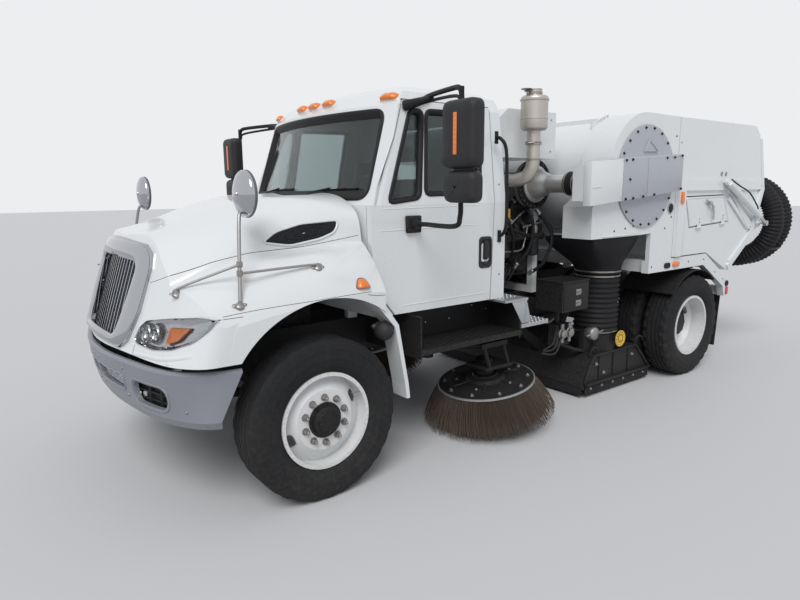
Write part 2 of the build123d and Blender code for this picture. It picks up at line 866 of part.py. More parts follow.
def bowed_sheet(depth, thickness):
    # A sheet bowed across the truck, its front a given depth behind the grille's face.
    front_r = bow_r - depth
    up = Vector(0, sin(nose_lean), cos(nose_lean))
    out = Vector(0, -cos(nose_lean), sin(nose_lean))
    middle = spot(0, *grille_foot) + out * (grille_proud - bow_r) - up * 40
    with BuildPart() as sheet:
        with BuildSketch(Plane(origin=middle, x_dir=(1, 0, 0), z_dir=-up)):
            Circle(front_r)
            Circle(front_r - thickness, mode=Mode.SUBTRACT)
            with Locations((0, front_r)):
                Rectangle(1200, 500, mode=Mode.INTERSECT)
        extrude(amount=-740)
    return sheet.part


with BuildPart() as grille:
    add(bowed_sheet(0, surround_depth))
    add(grille_block(surround_outline, 0), mode=Mode.INTERSECT)
    add(grille_block(grille_outline, 0), mode=Mode.SUBTRACT)
    with BuildPart(mode=Mode.PRIVATE) as slats:
        for number in range(slat_count):
            place = slat_spread * (2 * number / (slat_count - 1) - 1)
            with BuildSketch(grille_plane(80)) as slat:
                with Locations((place, (slat_z[0] + slat_z[1]) / 2)):
                    Rectangle(slat_t, slat_z[1] - slat_z[0])
            extrude(slat.sketch, amount=-260)
        add(bowed_sheet(26, 18), mode=Mode.INTERSECT)
    add(slats.part)
    with BuildPart(mode=Mode.PRIVATE) as backing:
        add(bowed_sheet(44, 16))
        add(grille_block(grille_outline, 12), mode=Mode.INTERSECT)
    add(backing.part)
    add(grille_block(surround_outline, 0), mode=Mode.INTERSECT)
write(grille, "grille")

lamp_outline = (
    (548, 1056),
    (580, 1036),
    (772, 1031),
    (942, 1057),
    (1051, 1106),
    (1100, 1171),
    (1114, 1220),
    (1049, 1231),
    (896, 1214),
    (640, 1170),
    (574, 1122),
)
arm_x = (556, 596)
arm_eye_r = 30
arm_bends = ((0, 0), (170, 110), (215, 190), (-45, 276))
arm_half = 18
cab_clearance = 14


def lamp_blocks(grow):
    with BuildPart() as blocks:
        for _, sign in sides:
            with BuildSketch(cross_plane(-1100)) as lamp_face:
                with BuildLine():
                    Polyline(*[(sign * x, z) for x, z in lamp_outline], close=True)
                make_face()
                if grow:
                    offset(amount=grow, kind=Kind.INTERSECTION)
            extrude(lamp_face.sketch, amount=-560)
    return blocks.part


hood_outside = hood_form(0)
with BuildPart() as hood:
    add(hood_outside)
    add(hood_form(skin), mode=Mode.SUBTRACT)
    add(grille_block(surround_outline, seat_gap), mode=Mode.SUBTRACT)
    add(lamp_blocks(seat_gap), mode=Mode.SUBTRACT)
    # The wheel arches are open to the sides.
    for _, sign in sides:
        with BuildSketch(side_plane(sign * 700)):
            with Locations(arch_middle):
                Circle(arch_r)
        extrude(amount=sign * 600, mode=Mode.SUBTRACT)
    # Splash panels behind the wheels, outside the cab so that the hood can tilt
    for _, sign in sides:
        ends = sorted((sign * splash_x[0], sign * splash_x[1]))
        plate(*ends, [*splash, (340, 1230)])
    add(cab_form(-cab_clearance), mode=Mode.SUBTRACT)
    # Curved hinge arms reach round the bumper's edge to the pivot pins.
    for _, sign in sides:
        ends = sorted((sign * arm_x[0], sign * arm_x[1]))
        with BuildSketch(side_plane(ends[0])):
            with BuildLine():
                Polyline(*[(hood_pivot[0] + run, hood_pivot[1] + rise) for run, rise in arm_bends])
            trace(line_width=2 * arm_half)
            with Locations(hood_pivot):
                Circle(arm_eye_r)
                Circle(pivot_pin_r + running_gap, mode=Mode.SUBTRACT)
        extrude(amount=ends[1] - ends[0])
write(hood, "hood")

# Headlamps in the hood's front corners
lamp_depth = 60

with BuildPart() as headlamps:
    add(lamp_blocks(0))
    add(hood_outside, mode=Mode.INTERSECT)
    add(hood_form(lamp_depth), mode=Mode.SUBTRACT)
write(headlamps, "headlamps")

# Hood mirrors on their tripods
hood_mirror_x = 985
hood_mirror_head = (-392, 1878)
hood_mirror_r = 132
mirror_post_r = 12
mirror_head_t = 44
fender_foot = (hood_mirror_x, -440, 1300)

with BuildPart() as hood_mirrors:
    for _, sign in sides:
        head_middle = spot(sign * hood_mirror_x, *hood_mirror_head)
        with BuildSketch(cross_plane(hood_mirror_head[0] - mirror_head_t / 2)) as head:
            with Locations((sign * hood_mirror_x, hood_mirror_head[1])):
                Circle(hood_mirror_r)
        extrude(head.sketch, amount=-mirror_head_t)
        bar(spot(sign * fender_foot[0], fender_foot[1], fender_foot[2] - 60), head_middle, mirror_post_r)
        knot = spot(sign * hood_mirror_x, -418, 1520)
        bar(spot(sign * 800, -640, 1400), knot, mirror_post_r - 3)
        bar(spot(sign * 830, 20, 1530), knot, mirror_post_r - 3)
    add(hood_form(-seat_gap), mode=Mode.SUBTRACT)
write(hood_mirrors, "hood_mirrors")

# Steps with their hangers, and the box behind them
step_x = (690, 1100)
tread_front = 780
tread_rear = 1790
tread_z = 810
tread_t = 40
hanger_t = 14
hanger_low_z = 745
step_top_z = 1040
riser_x = 742
side_box = (2344, 2700, 860, 1117)
side_box_x = (770, 1050)

with BuildPart() as step_frames:
    for _, sign in sides:
        ends = sorted((sign * step_x[0], sign * step_x[1]))
        block(*ends, tread_front, tread_rear, tread_z - tread_t, tread_z)
        riser = sorted((sign * riser_x, sign * (riser_x + hanger_t)))
        block(*riser, tread_front, tread_rear, tread_z - 2, step_top_z)
        span = sorted((sign * rail_outer_x, sign * (step_x[1] - 10)))
        for place in (tread_front, tread_rear - hanger_t):
            block(*span, place, place + hanger_t, hanger_low_z, step_top_z)
    # The black box on the left hangs from the rail by two plates.
    block(*side_box_x, *side_box)
    for place in (side_box[0] + 40, side_box[1] - 60):
        block(rail_outer_x, side_box_x[0] + 2, place, place + hanger_t, 880, rail_top_z - 10)
write(step_frames, "step_frames")

with BuildPart() as step_treads:
    for _, sign in sides:
        upper = sorted((sign * (riser_x + hanger_t + seat_gap), sign * step_x[1]))
        block(*upper, 1600, 1857, step_top_z, step_top_z + 17)
        block(*upper, tread_rear + seat_gap, 2106, tread_z + 12, tread_z + 42)
        support = sorted((sign * (rail_outer_x + seat_gap), sign * 900))
        block(*support, 1900, 1914, tread_z - 60, tread_z + 13)
write(step_treads, "step_treads")

with BuildPart() as fuel_tank:
    with BuildSketch(side_plane(-1060)) as tank_face:
        with Locations((2480, 865)):
            RectangleRounded(440, 490, 90)
    extrude(tank_face.sketch, amount=460)
    for place in (2340, 2600):
        block(-601, -rail_outer_x - seat_gap, place, place + 40, 760, 900)
write(fuel_tank, "fuel_tank")

# Second engine behind the cab, the drive from it to the blower, and its exhaust stack
drive_behind = 2450
drive_z = 1930
drive_ring = (560, 620, 200)
drive_tube_r = 71
drive_sleeve_r = 89
guard_inner_x = 1095

with BuildPart() as aux_engine:
    block(-480, 480, 2020, 2700, 1120, 1790)
    block(-420, 420, 2090, 2640, 1790, 2030)
    block(-740, -600, 1960, 2420, 1120, 1960)
    block(-601, -479, 2200, 2400, 1300, 1700)
    block(419, drive_ring[0], 2330, 2530, 1820, 2030)
    for _, sign in sides:
        ends = sorted((sign * (rail_outer_x - rail_thickness), sign * rail_outer_x))
        for place in (2080, 2600):
            block(*ends, place, place + 90, rail_top_z, 1121)
write(aux_engine, "aux_engine")

with BuildPart() as blower_drive:
    for x_low, x_high, radius in (
        (drive_ring[0] + seat_gap, drive_ring[1], drive_ring[2]),
        (780, 1000, drive_tube_r),
        (1000, guard_inner_x - seat_gap, drive_sleeve_r),
    ):
        bar(spot(x_low, drive_behind, drive_z), spot(x_high, drive_behind, drive_z), radius)
    with BuildSketch(side_plane(drive_ring[1])) as cone_root:
        with Locations((drive_behind, drive_z)):
            Circle(127)
    with BuildSketch(side_plane(790)) as cone_tip:
        with Locations((drive_behind, drive_z)):
            Circle(drive_tube_r)
    loft([cone_root.sketch, cone_tip.sketch], ruled=True)
write(blower_drive, "blower_drive")

tank_x = (-1000, 750)
tank_front = 1800
tank_rear = 2550
tank_low_z = 2140
tank_top_z = 2520
tank_legs = ((tank_front, -750, 750), (tank_rear - 10, -560, 550))

with BuildPart() as water_tank:
    tank_side = [
        (tank_front, tank_low_z),
        (tank_rear, tank_low_z),
        (tank_rear, tank_top_z),
        (tank_front + 160, tank_top_z),
        (tank_front, tank_top_z - 120),
    ]
    plate(*tank_x, tank_side)
    for place, leg_low_x, leg_high_x in tank_legs:
        block(leg_low_x, leg_high_x, place, place + 60, rail_top_z, rail_top_z + 60)
        for leg_x in (leg_low_x, leg_high_x - 60):
            block(leg_x, leg_x + 60, place, place + 60, rail_top_z + 58, tank_low_z + 120)
write(water_tank, "water_tank")

stack_x = 930
stack_behind = 2060
stack_pipe_r = 62
canister_r = 145

with BuildPart() as exhaust_stack:
    elbow = spot(stack_x, stack_behind, 2080)
    low = spot(600, 1960, 1960)
    bar(elbow, spot(stack_x, stack_behind, 2345), stack_pipe_r)
    bar(spot(stack_x, stack_behind, 2340), spot(stack_x, stack_behind, 2600), canister_r)
    bar(spot(stack_x, stack_behind, 2599), spot(stack_x, stack_behind, 2650), 70)
    bar(elbow, low, stack_pipe_r)
    bar(low, spot(600, 1960, 1500), stack_pipe_r)
    with Locations(elbow, low):
        Sphere(stack_pipe_r)
    block(480.3, 620, 2020, 2090, 1500, 1600)
    block(560, 620, 1940, 2030, 1500, 1600)
write(exhaust_stack, "exhaust_stack")

# Fixed module in front of the hopper: the blower's scroll, the drum across and the right housing
scroll_middle = (3250, 1985)
scroll_r = 545
scroll_inner_x = 900
drum_r_module = 500
module_rear = hopper_front - 10
module_low_z = 1494
module_top_z = 2524
outlet_z = 1475
subframe_z = (1115, 1229)
post_x = (rail_outer_x - rail_thickness, rail_outer_x)


def scroll_side(x_low, x_high):
    top = (scroll_middle[0], scroll_middle[1] + scroll_r)
    arc_mid = (
        scroll_middle[0] - scroll_r * cos(radians(45)),
        scroll_middle[1] + scroll_r * sin(radians(45)),
    )
    arc_end = (scroll_middle[0] - scroll_r, scroll_middle[1])
    with BuildSketch(side_plane(x_low)) as profile:
        with BuildLine():
            ThreePointArc(arc_end, arc_mid, top)
            Polyline(
                top,
                (module_rear, module_top_z),
                (module_rear, module_low_z),
                (3080, outlet_z),
                (2500, outlet_z),
                (2500, 1740),
                (2690, 1860),
                arc_end,
            )
        make_face()
    extrude(profile.sketch, amount=x_high - x_low)


with BuildPart() as blower_module:
    scroll_side(scroll_inner_x, body_half)
    scroll_side(-body_half, -scroll_inner_x)
    bar(spot(-scroll_inner_x - 5, *scroll_middle), spot(scroll_inner_x + 5, *scroll_middle), drum_r_module)
    block(-scroll_inner_x - 5, scroll_inner_x + 5, scroll_middle[0], module_rear, module_low_z, module_top_z)
    for _, sign in sides:
        panel = sorted((sign * (body_half - 40), sign * body_half))
        block(*panel, 3390, module_rear, subframe_z[1], module_low_z + 2)
        post = sorted((sign * post_x[0], sign * post_x[1]))
        block(*post, 3440, 3560, subframe_z[1], module_low_z + 2)
write(blower_module, "blower_module")

cover_r = 430
cover_t = 12
with BuildPart() as blower_cover:
    bar(
        spot(body_half, scroll_middle[0], scroll_middle[1]),
        spot(body_half + cover_t, scroll_middle[0], scroll_middle[1]),
        cover_r,
    )
write(blower_cover, "blower_cover")

guard_x = (body_half + cover_t + seat_gap, 1270)
with BuildPart() as belt_guard:
    plate(*guard_x, [(2355, 1750), (3720, 1862), (3720, 2190), (2355, 2100)])
    plate(guard_inner_x, guard_x[0] + 2, [(2355, 1790), (2560, 1800), (2560, 2080), (2355, 2070)])
write(belt_guard, "belt_guard")

# Ducts under the module and the ribbed hoses down to the pick-up head
hose_x = 820
hose_behind = 3150
hose_r = 205
hose_rib = 16
hose_ribs = 11
hose_top_z = 1126
hose_low_z = 550
duct_top_z = outlet_z - 25
duct_top = (540, 700, 100)
duct_middle = (910, 2900)

with BuildPart() as air_ducts:
    for _, sign in sides:
        with BuildSketch(level_plane(duct_top_z)) as flange:
            with Locations((sign * duct_middle[0], duct_middle[1])):
                Rectangle(duct_top[0], duct_top[1] + 120)
        extrude(flange.sketch, amount=outlet_z - duct_top_z)
        with BuildSketch(level_plane(duct_top_z)) as wide_end:
            with Locations((sign * duct_middle[0], duct_middle[1])):
                RectangleRounded(*duct_top)
        with BuildSketch(level_plane(hose_top_z)) as round_end:
            with Locations((sign * hose_x, hose_behind)):
                RectangleRounded(2 * hose_r, 2 * hose_r, hose_r - 2)
        loft([wide_end.sketch, round_end.sketch], ruled=True)
write(air_ducts, "air_ducts")

with BuildPart() as air_hoses:
    pitch = (hose_top_z - hose_low_z) / hose_ribs
    for _, sign in sides:
        middle = spot(sign * hose_x, hose_behind, 0)
        with BuildSketch(Plane(origin=middle, x_dir=(1, 0, 0), z_dir=(0, -1, 0))) as rib_profile:
            with BuildLine():
                Polyline(
                    (hose_r - hose_rib, hose_low_z),
                    (0, hose_low_z),
                    (0, hose_top_z),
                    (hose_r - hose_rib, hose_top_z),
                )
                for rib in range(hose_ribs):
                    foot = hose_low_z + rib * pitch
                    Polyline(
                        (hose_r - hose_rib, foot),
                        (hose_r, foot + pitch * 0.4),
                        (hose_r, foot + pitch * 0.6),
                        (hose_r - hose_rib, foot + pitch),
                    )
            make_face()
        revolve(rib_profile.sketch.faces(), axis=Axis(middle, (0, 0, 1)))
write(air_hoses, "air_hoses")

# Pick-up head: an open trough across the truck, with its necks and drag links
head_half = 1000
head_wall = 16
head_side = [(2729, 120), (2820, 320), (2900, 392), (3560, 392), (3630, 320), (3830, 110), (3830, 80), (2760, 80)]
head_hollow = [(2860, 40), (2860, 310), (2920, 372), (3540, 372), (3600, 310), (3760, 110), (3760, 40)]
link_x = (384, 428)

with BuildPart() as pickup_head:
    plate(-head_half, head_half, head_side)
    with BuildSketch(side_plane(-head_half + head_wall)) as hollow:
        with BuildLine():
            Polyline(*head_hollow, close=True)
        make_face()
    extrude(hollow.sketch, amount=2 * (head_half - head_wall), mode=Mode.SUBTRACT)
    for _, sign in sides:
        neck = spot(sign * hose_x, hose_behind, 380)
        bar(neck, spot(sign * hose_x, hose_behind, hose_low_z), hose_r - hose_rib)
        ends = sorted((sign * link_x[0], sign * link_x[1]))
        plate(*ends, [(2860, 300), (2930, 370), (2430, rail_low_z), (2350, rail_low_z)])
write(pickup_head, "pickup_head")

# Sub-frame that the hopper rests on: sills, beams, and the ears of the hopper's pivot
sill_x = (1120, body_half)
sill_side = [
    (3390, subframe_z[0]),
    (3390, subframe_z[1]),
    (4430, subframe_z[1]),
    (4990, 900),
    (4990, 740),
    (4900, 740),
    (4860, 850),
    (4400, subframe_z[0]),
]
ear_x = (386, 430)
hopper_lug_x = (450, 505)
beam_places = (3450, 4250)

with BuildPart() as hopper_subframe:
    block(-body_half, body_half, beam_places[0], beam_places[0] + 100, *subframe_z)
    for _, sign in sides:
        ends = sorted((sign * sill_x[0], sign * sill_x[1]))
        plate(*ends, sill_side)
        reach = sorted((sign * post_x[0], sign * (sill_x[0] + 2)))
        block(*reach, beam_places[1], beam_places[1] + 100, *subframe_z)
        post = sorted((sign * post_x[0], sign * post_x[1]))
        for place in beam_places:
            block(*post, place, place + 100, rail_top_z, subframe_z[0] + 1)
        ear = sorted((sign * ear_x[0], sign * ear_x[1]))
        ear_side = [
            (hopper_pivot[0] - 70, rail_top_z),
            (hopper_pivot[0] + 70, rail_top_z),
            (hopper_pivot[0] + 58, hopper_pivot[1] - 20),
            (hopper_pivot[0] + 43, hopper_pivot[1] + 5),
            (hopper_pivot[0] + 22, hopper_pivot[1] + 36),
            (hopper_pivot[0] - 36, hopper_pivot[1] + 36),
        ]
        plate(*ear, ear_side)
        pin_end = spot(sign * (hopper_lug_x[1] + 20), *hopper_pivot)
        bar(spot(sign * ear_x[0], *hopper_pivot), pin_end, hopper_pin_r)
        tail = sorted((sign * (rail_outer_x + seat_gap), sign * (sill_x[0] + 2)))
        block(*tail, 4910, 4980, 745, 840)
write(hopper_subframe, "hopper_subframe")

# Rear wheel covers and mud flaps
fender_r = 572
fender_t = 10
fender_x = (640, 1215)

flap_side = [(4980, 745 - seat_gap), (4930, 180), (4918, 180), (4966, 745 - seat_gap)]

with BuildPart() as rear_fenders:
    for _, sign in sides:
        ends = sorted((sign * fender_x[0], sign * fender_x[1]))
        with BuildSketch(side_plane(ends[0])) as strip:
            with BuildLine():
                CenterArc((wheelbase, hub_z), fender_r, 50, 90)
                offset(amount=fender_t, side=Side.LEFT)
            make_face()
        extrude(strip.sketch, amount=ends[1] - ends[0])
        # Each cover hangs from the sill by a block over the axle.
        hanger = sorted((sign * (sill_x[0] - 60), sign * (sill_x[0] - seat_gap)))
        block(*hanger, beam_places[1] + 10, beam_places[1] + 90, hub_z + fender_r, subframe_z[0])
        flap = sorted((sign * fender_x[0], sign * (sill_x[0] - seat_gap)))
        plate(*flap, flap_side)
write(rear_fenders, "rear_fenders")

# Tilting hopper: plate walls round an open load space, its rear closed by the door
body_side = [
    (hopper_front, deck_z),
    (hopper_front, module_top_z),
    (5305, module_top_z),
    (5425, 2432),
    (5546, 1995),
    (5586, 1861),
    (5405, 1406),
    (5400, 1360),
    (4901, 1022),
    (4430, deck_z),
]
load_side = [
    (hopper_front + hopper_wall, deck_z + 50),
    (hopper_front + hopper_wall, module_top_z - hopper_wall),
    (5292, module_top_z - hopper_wall),
    (5380, 2410),
    (5700, 2330),
    (5700, 1450),
    (5400, 1410),
    (4890, 1072),
    (4450, deck_z + 50),
]
belt_beam = (3800, 5556, 1860, 1960)
belt_proud = 24
inspection_side = [(4063, 1512), (4850, 1542), (4712, 1806), (3964, 1797)]
inspection_gap = 10
inspection_t = 12
door_hinge = (5462, 2444)
door_hinge_r = 16
side_ribs = (
    # The front post, the brace beside the door cylinder, and the two strips along the rear edge
    ((3800, deck_z), (3905, deck_z), (3905, 1862), (3800, 1862)),
    ((4770, 1862), (4850, 1862), (5340, 1508), (5340, 1440), (5290, 1440)),
    ((5586, 1861), (5405, 1406), (5340, 1408), (5522, 1861)),
    ((5405, 1407), (5400, 1360), (4901, 1022), (4880, 1076), (5342, 1409)),
)
body_lugs = (300, 900)
door_straps = (350, 850)
lug_t = 40
cylinder_x = 1254
cylinder_foot = (4645, 1940)
cylinder_eye = (5606, 1491)
barrel_r = 34
rod_r = 18
eye_r = 34
eye_half = 16
barrel_length = 860
hoist_eye = (4350, 1150)
hoist_ear_gap = 70
hoist_ear_t = 22

hatch_hinge_x = 1206
hatch_hinge_low = (4063, 1496)
hatch_hinge_high = (4850, 1526)
hatch_pin_r = 4.5
hatch_hole_r = 5.5
hatch_barrel_r = 9
hatch_shares = (0.16, 0.78)
hatch_barrel_share = 0.08
hatch_boss_share = 0.02


def along(start, end, share):
    return tuple(a + (b - a) * share for a, b in zip(start, end))


def hatch_point(sign, share):
    return spot(sign * hatch_hinge_x, *along(hatch_hinge_low, hatch_hinge_high, share))


with BuildPart() as hopper_body:
    plate(-body_half, body_half, body_side)
    with BuildSketch(side_plane(-body_half + hopper_wall)) as load_face:
        with BuildLine():
            Polyline(*load_side, close=True)
        make_face()
    extrude(load_face.sketch, amount=2 * (body_half - hopper_wall), mode=Mode.SUBTRACT)
    for _, sign in sides:
        beam = sorted((sign * (body_half - 1), sign * (body_half + belt_proud)))
        block(*beam, *belt_beam)
        for outline in side_ribs:
            plate(*beam, outline)
        with BuildSketch(side_plane(sign * (body_half - hopper_wall - 5))) as hatch:
            with BuildLine():
                Polyline(*inspection_side, close=True)
            make_face()
            offset(amount=inspection_gap, kind=Kind.INTERSECTION)
        extrude(hatch.sketch, amount=sign * (hopper_wall + 10), mode=Mode.SUBTRACT)
        # Pins and bosses that the inspection door turns on
        for share in hatch_shares:
            end_share = share + hatch_barrel_share
            pin_start = hatch_point(sign, share - hatch_boss_share)
            bar(pin_start, hatch_point(sign, end_share + hatch_boss_share), hatch_pin_r)
            for start in (share - hatch_boss_share, end_share + 0.001):
                low = hatch_point(sign, start)
                high = hatch_point(sign, start + hatch_boss_share - 0.001)
                bar(low, high, hatch_barrel_r)
                boss = sorted((sign * (body_half - 1), sign * hatch_hinge_x))
                run = (low.Y - front_axle_y, high.Y - front_axle_y)
                block(*boss, *run, low.Z - 7, low.Z + 7)
        # Pin of the door cylinder
        bar(
            spot(sign * (body_half + belt_proud - 4), *cylinder_foot),
            spot(sign * (cylinder_x + eye_half), *cylinder_foot),
            rod_r - 4,
        )
        # Lugs on the tilting pivot, outside the frame rails
        lug = sorted((sign * hopper_lug_x[0], sign * hopper_lug_x[1]))
        with BuildSketch(side_plane(lug[0])) as lug_face:
            with BuildLine():
                Polyline(
                    (hopper_pivot[0] - 120, 1120),
                    (hopper_pivot[0] - 56, hopper_pivot[1] - 20),
                    (hopper_pivot[0] + 56, hopper_pivot[1] - 20),
                    (hopper_pivot[0] + 150, 1110),
                    close=True,
                )
            make_face()
            with Locations(hopper_pivot):
                Circle(58)
                Circle(hopper_hole_r, mode=Mode.SUBTRACT)
        extrude(lug_face.sketch, amount=lug[1] - lug[0])
        # Ears over the hoist's eye
        ear = sorted((sign * hoist_ear_gap, sign * (hoist_ear_gap + hoist_ear_t)))
        plate(*ear, [(4290, 1262), (4310, 1110), (4390, 1110), (4410, 1262)])
        # Door hinge lugs with the pins that the door turns on
        for place in body_lugs:
            lug = sorted((sign * place, sign * (place + lug_t)))
            lug_side = [(5360, 2460), (5428, 2420), (5482, 2424), (5482, 2464), (5440, 2478), (5370, 2490)]
            plate(*lug, lug_side)
        for low_x, high_x in ((body_lugs[0] + 4, door_straps[0] + lug_t), (door_straps[1], body_lugs[1] + 4)):
            bar(spot(sign * low_x, *door_hinge), spot(sign * high_x, *door_hinge), door_hinge_r)
write(hopper_body, "hopper_body")

# Rear door with its hinge straps, the lugs for its cylinders and the peg for the hand hose
door_side = [
    (5441, 2398),
    (5494, 2398),
    (5612, 1995),
    (5652, 1861),
    (5471, 1406),
    (5411, 1406),
    (5592, 1861),
    (5552, 1995),
]
coil_x = 770
coil_z = 1500
coil_tube_r = 105
coil_r = 395
coil_spacing = 2 * coil_tube_r + 0.6
coil_rear = rear_reach - coil_tube_r
peg_r = 32
door_lug_x = (1150, 1182)

with BuildPart() as rear_door:
    plate(-body_half, body_half, door_side)
    for _, sign in sides:
        for place in door_straps:
            strap = sorted((sign * place, sign * (place + lug_t)))
            with BuildSketch(side_plane(strap[0])) as strap_face:
                with BuildLine():
                    Polyline((5440, 2390), (5494, 2390), (5486, 2444), (5438, 2444), close=True)
                make_face()
                with Locations(door_hinge):
                    Circle(26)
                    Circle(door_hinge_r + running_gap, mode=Mode.SUBTRACT)
            extrude(strap_face.sketch, amount=strap[1] - strap[0])
        lug = sorted((sign * door_lug_x[0], sign * door_lug_x[1]))
        plate(*lug, [(5470, 1412), (5540, 1590), (5646, 1520), (5646, 1462)])
    peg_z = coil_z + coil_r - coil_tube_r - peg_r - seat_gap
    bar(spot(coil_x, 5600, peg_z), spot(coil_x, rear_reach - 20, peg_z), peg_r)
write(rear_door, "rear_door")

with BuildPart() as hand_hose:
    for place in (coil_rear - coil_spacing, coil_rear):
        with Locations(Location(spot(coil_x, place, coil_z), (90, 0, 0))):
            Torus(coil_r, coil_tube_r)
write(hand_hose, "hand_hose")

# Inspection doors, hinged at their lower edges
for side, sign in sides:
    with BuildPart() as inspection_door:
        leaf = sorted((sign * (body_half - inspection_t), sign * (body_half + 4)))
        plate(*leaf, inspection_side)
        for share in hatch_shares:
            low = hatch_point(sign, share)
            high = hatch_point(sign, share + hatch_barrel_share)
            bar(low, high, hatch_barrel_r)
            run = (low.Y - front_axle_y, high.Y - front_axle_y)
            wing = sorted((sign * (hatch_hinge_x - 4), sign * (hatch_hinge_x + 4)))
            plate(*wing, [(run[0], low.Z), (run[1], high.Z), (run[1], high.Z + 90), (run[0], low.Z + 90)])
            pad = sorted((sign * (body_half + 2), sign * (hatch_hinge_x - 3)))
            pad_side = [(run[0], low.Z + 32), (run[1], high.Z + 32), (run[1], high.Z + 90), (run[0], low.Z + 90)]
            plate(*pad, pad_side)
            axis_plane = Plane(origin=low, z_dir=high - low)
            with BuildSketch(axis_plane.offset(-2)) as bore:
                Circle(hatch_hole_r)
            extrude(bore.sketch, amount=(high - low).length + 4, mode=Mode.SUBTRACT)
    write(inspection_door, f"inspection_door_{side}")


# Cylinders: each is a barrel turning on its foot and a rod sliding in it
def cylinder_barrel(x, foot, eye, length, bore_depth, foot_pin_r, half):
    reach = hypot(eye[0] - foot[0], eye[1] - foot[1])
    eye_face_x = x - half
    with BuildPart() as barrel:
        bar(spot(x, *along(foot, eye, 26 / reach)), spot(x, *along(foot, eye, length / reach)), barrel_r)
        with BuildSketch(side_plane(eye_face_x)) as eye_face:
            with Locations(foot):
                Circle(eye_r)
        extrude(eye_face.sketch, amount=2 * half)
        hole_half = max(half, barrel_r) + 1
        with BuildSketch(side_plane(x - hole_half)) as pin_hole:
            with Locations(foot):
                Circle(foot_pin_r + running_gap)
        extrude(pin_hole.sketch, amount=2 * hole_half, mode=Mode.SUBTRACT)
        start = spot(x, *along(foot, eye, bore_depth / reach))
        end = spot(x, *along(foot, eye, (length + 5) / reach))
        with BuildSketch(Plane(origin=start, z_dir=end - start)) as bore:
            Circle(rod_r + running_gap)
        extrude(bore.sketch, amount=(end - start).length, mode=Mode.SUBTRACT)
    return barrel.part


def cylinder_rod(x, foot, eye, bore_depth, half):
    reach = hypot(eye[0] - foot[0], eye[1] - foot[1])
    with BuildPart() as rod:
        rod_start = spot(x, *along(foot, eye, (bore_depth + 4) / reach))
        bar(rod_start, spot(x, *along(foot, eye, 1 - 10 / reach)), rod_r)
        with BuildSketch(side_plane(x - half)) as eye_face:
            with Locations(eye):
                Circle(eye_r - 4)
        extrude(eye_face.sketch, amount=2 * half)
    return rod.part


bore_depth = 60
with BuildPart() as door_barrels:
    for _, sign in sides:
        place = (sign * cylinder_x, cylinder_foot, cylinder_eye)
        add(cylinder_barrel(*place, barrel_length, bore_depth, rod_r - 4, eye_half))
write(door_barrels, "door_barrels")

with BuildPart() as door_rods:
    for _, sign in sides:
        add(cylinder_rod(sign * cylinder_x, cylinder_foot, cylinder_eye, bore_depth, eye_half))
        # A short pin points at the door's lug, which the eye may drift from.
        bar(
            spot(sign * (cylinder_x - eye_half + 2), *cylinder_eye),
            spot(sign * (door_lug_x[1] + seat_gap), *cylinder_eye),
            rod_r - 6,
        )
write(door_rods, "door_rods")

hoist_length = 700
with BuildPart() as hoist_barrel:
    add(cylinder_barrel(0, hoist_foot, hoist_eye, hoist_length, bore_depth, pin_r, 40))
write(hoist_barrel, "hoist_barrel")

with BuildPart() as hoist_rod:
    add(cylinder_rod(0, hoist_foot, hoist_eye, bore_depth, 40))
    bar(
        spot(-hoist_ear_gap + seat_gap, *hoist_eye),
        spot(hoist_ear_gap - seat_gap, *hoist_eye),
        pin_r,
    )
write(hoist_rod, "hoist_rod")

# Gutter brooms on arms that swing them out from under the truck
arm_pivot = (600, 1250)
arm_low_z = 600
arm_high_z = 690
arm_boss_r = 48
arm_pin_r = 24
broom_centre = (846, 1664, 371)
broom_lean = 8.8
plate_r = 393
plate_thickness = 14
bristle_root = (326, 386)
bristle_tip = (430, 539)
bristle_reach = 277
motor_r = 66
motor_low = 46
motor_high = 190
link_behind = ((1476, 1544), (1686, 1751))
link_z = (705, 531)
link_bar_x = 1000


def broom_up():
    return Vector(0, -sin(radians(broom_lean)), cos(radians(broom_lean)))


def broom_plane(sign):
    # Sketch axes: across to the left, up along the broom's own axis.
    facing = (0, -cos(radians(broom_lean)), -sin(radians(broom_lean)))
    return Plane(origin=spot(sign * broom_centre[0], *broom_centre[1:]), x_dir=(1, 0, 0), z_dir=facing)


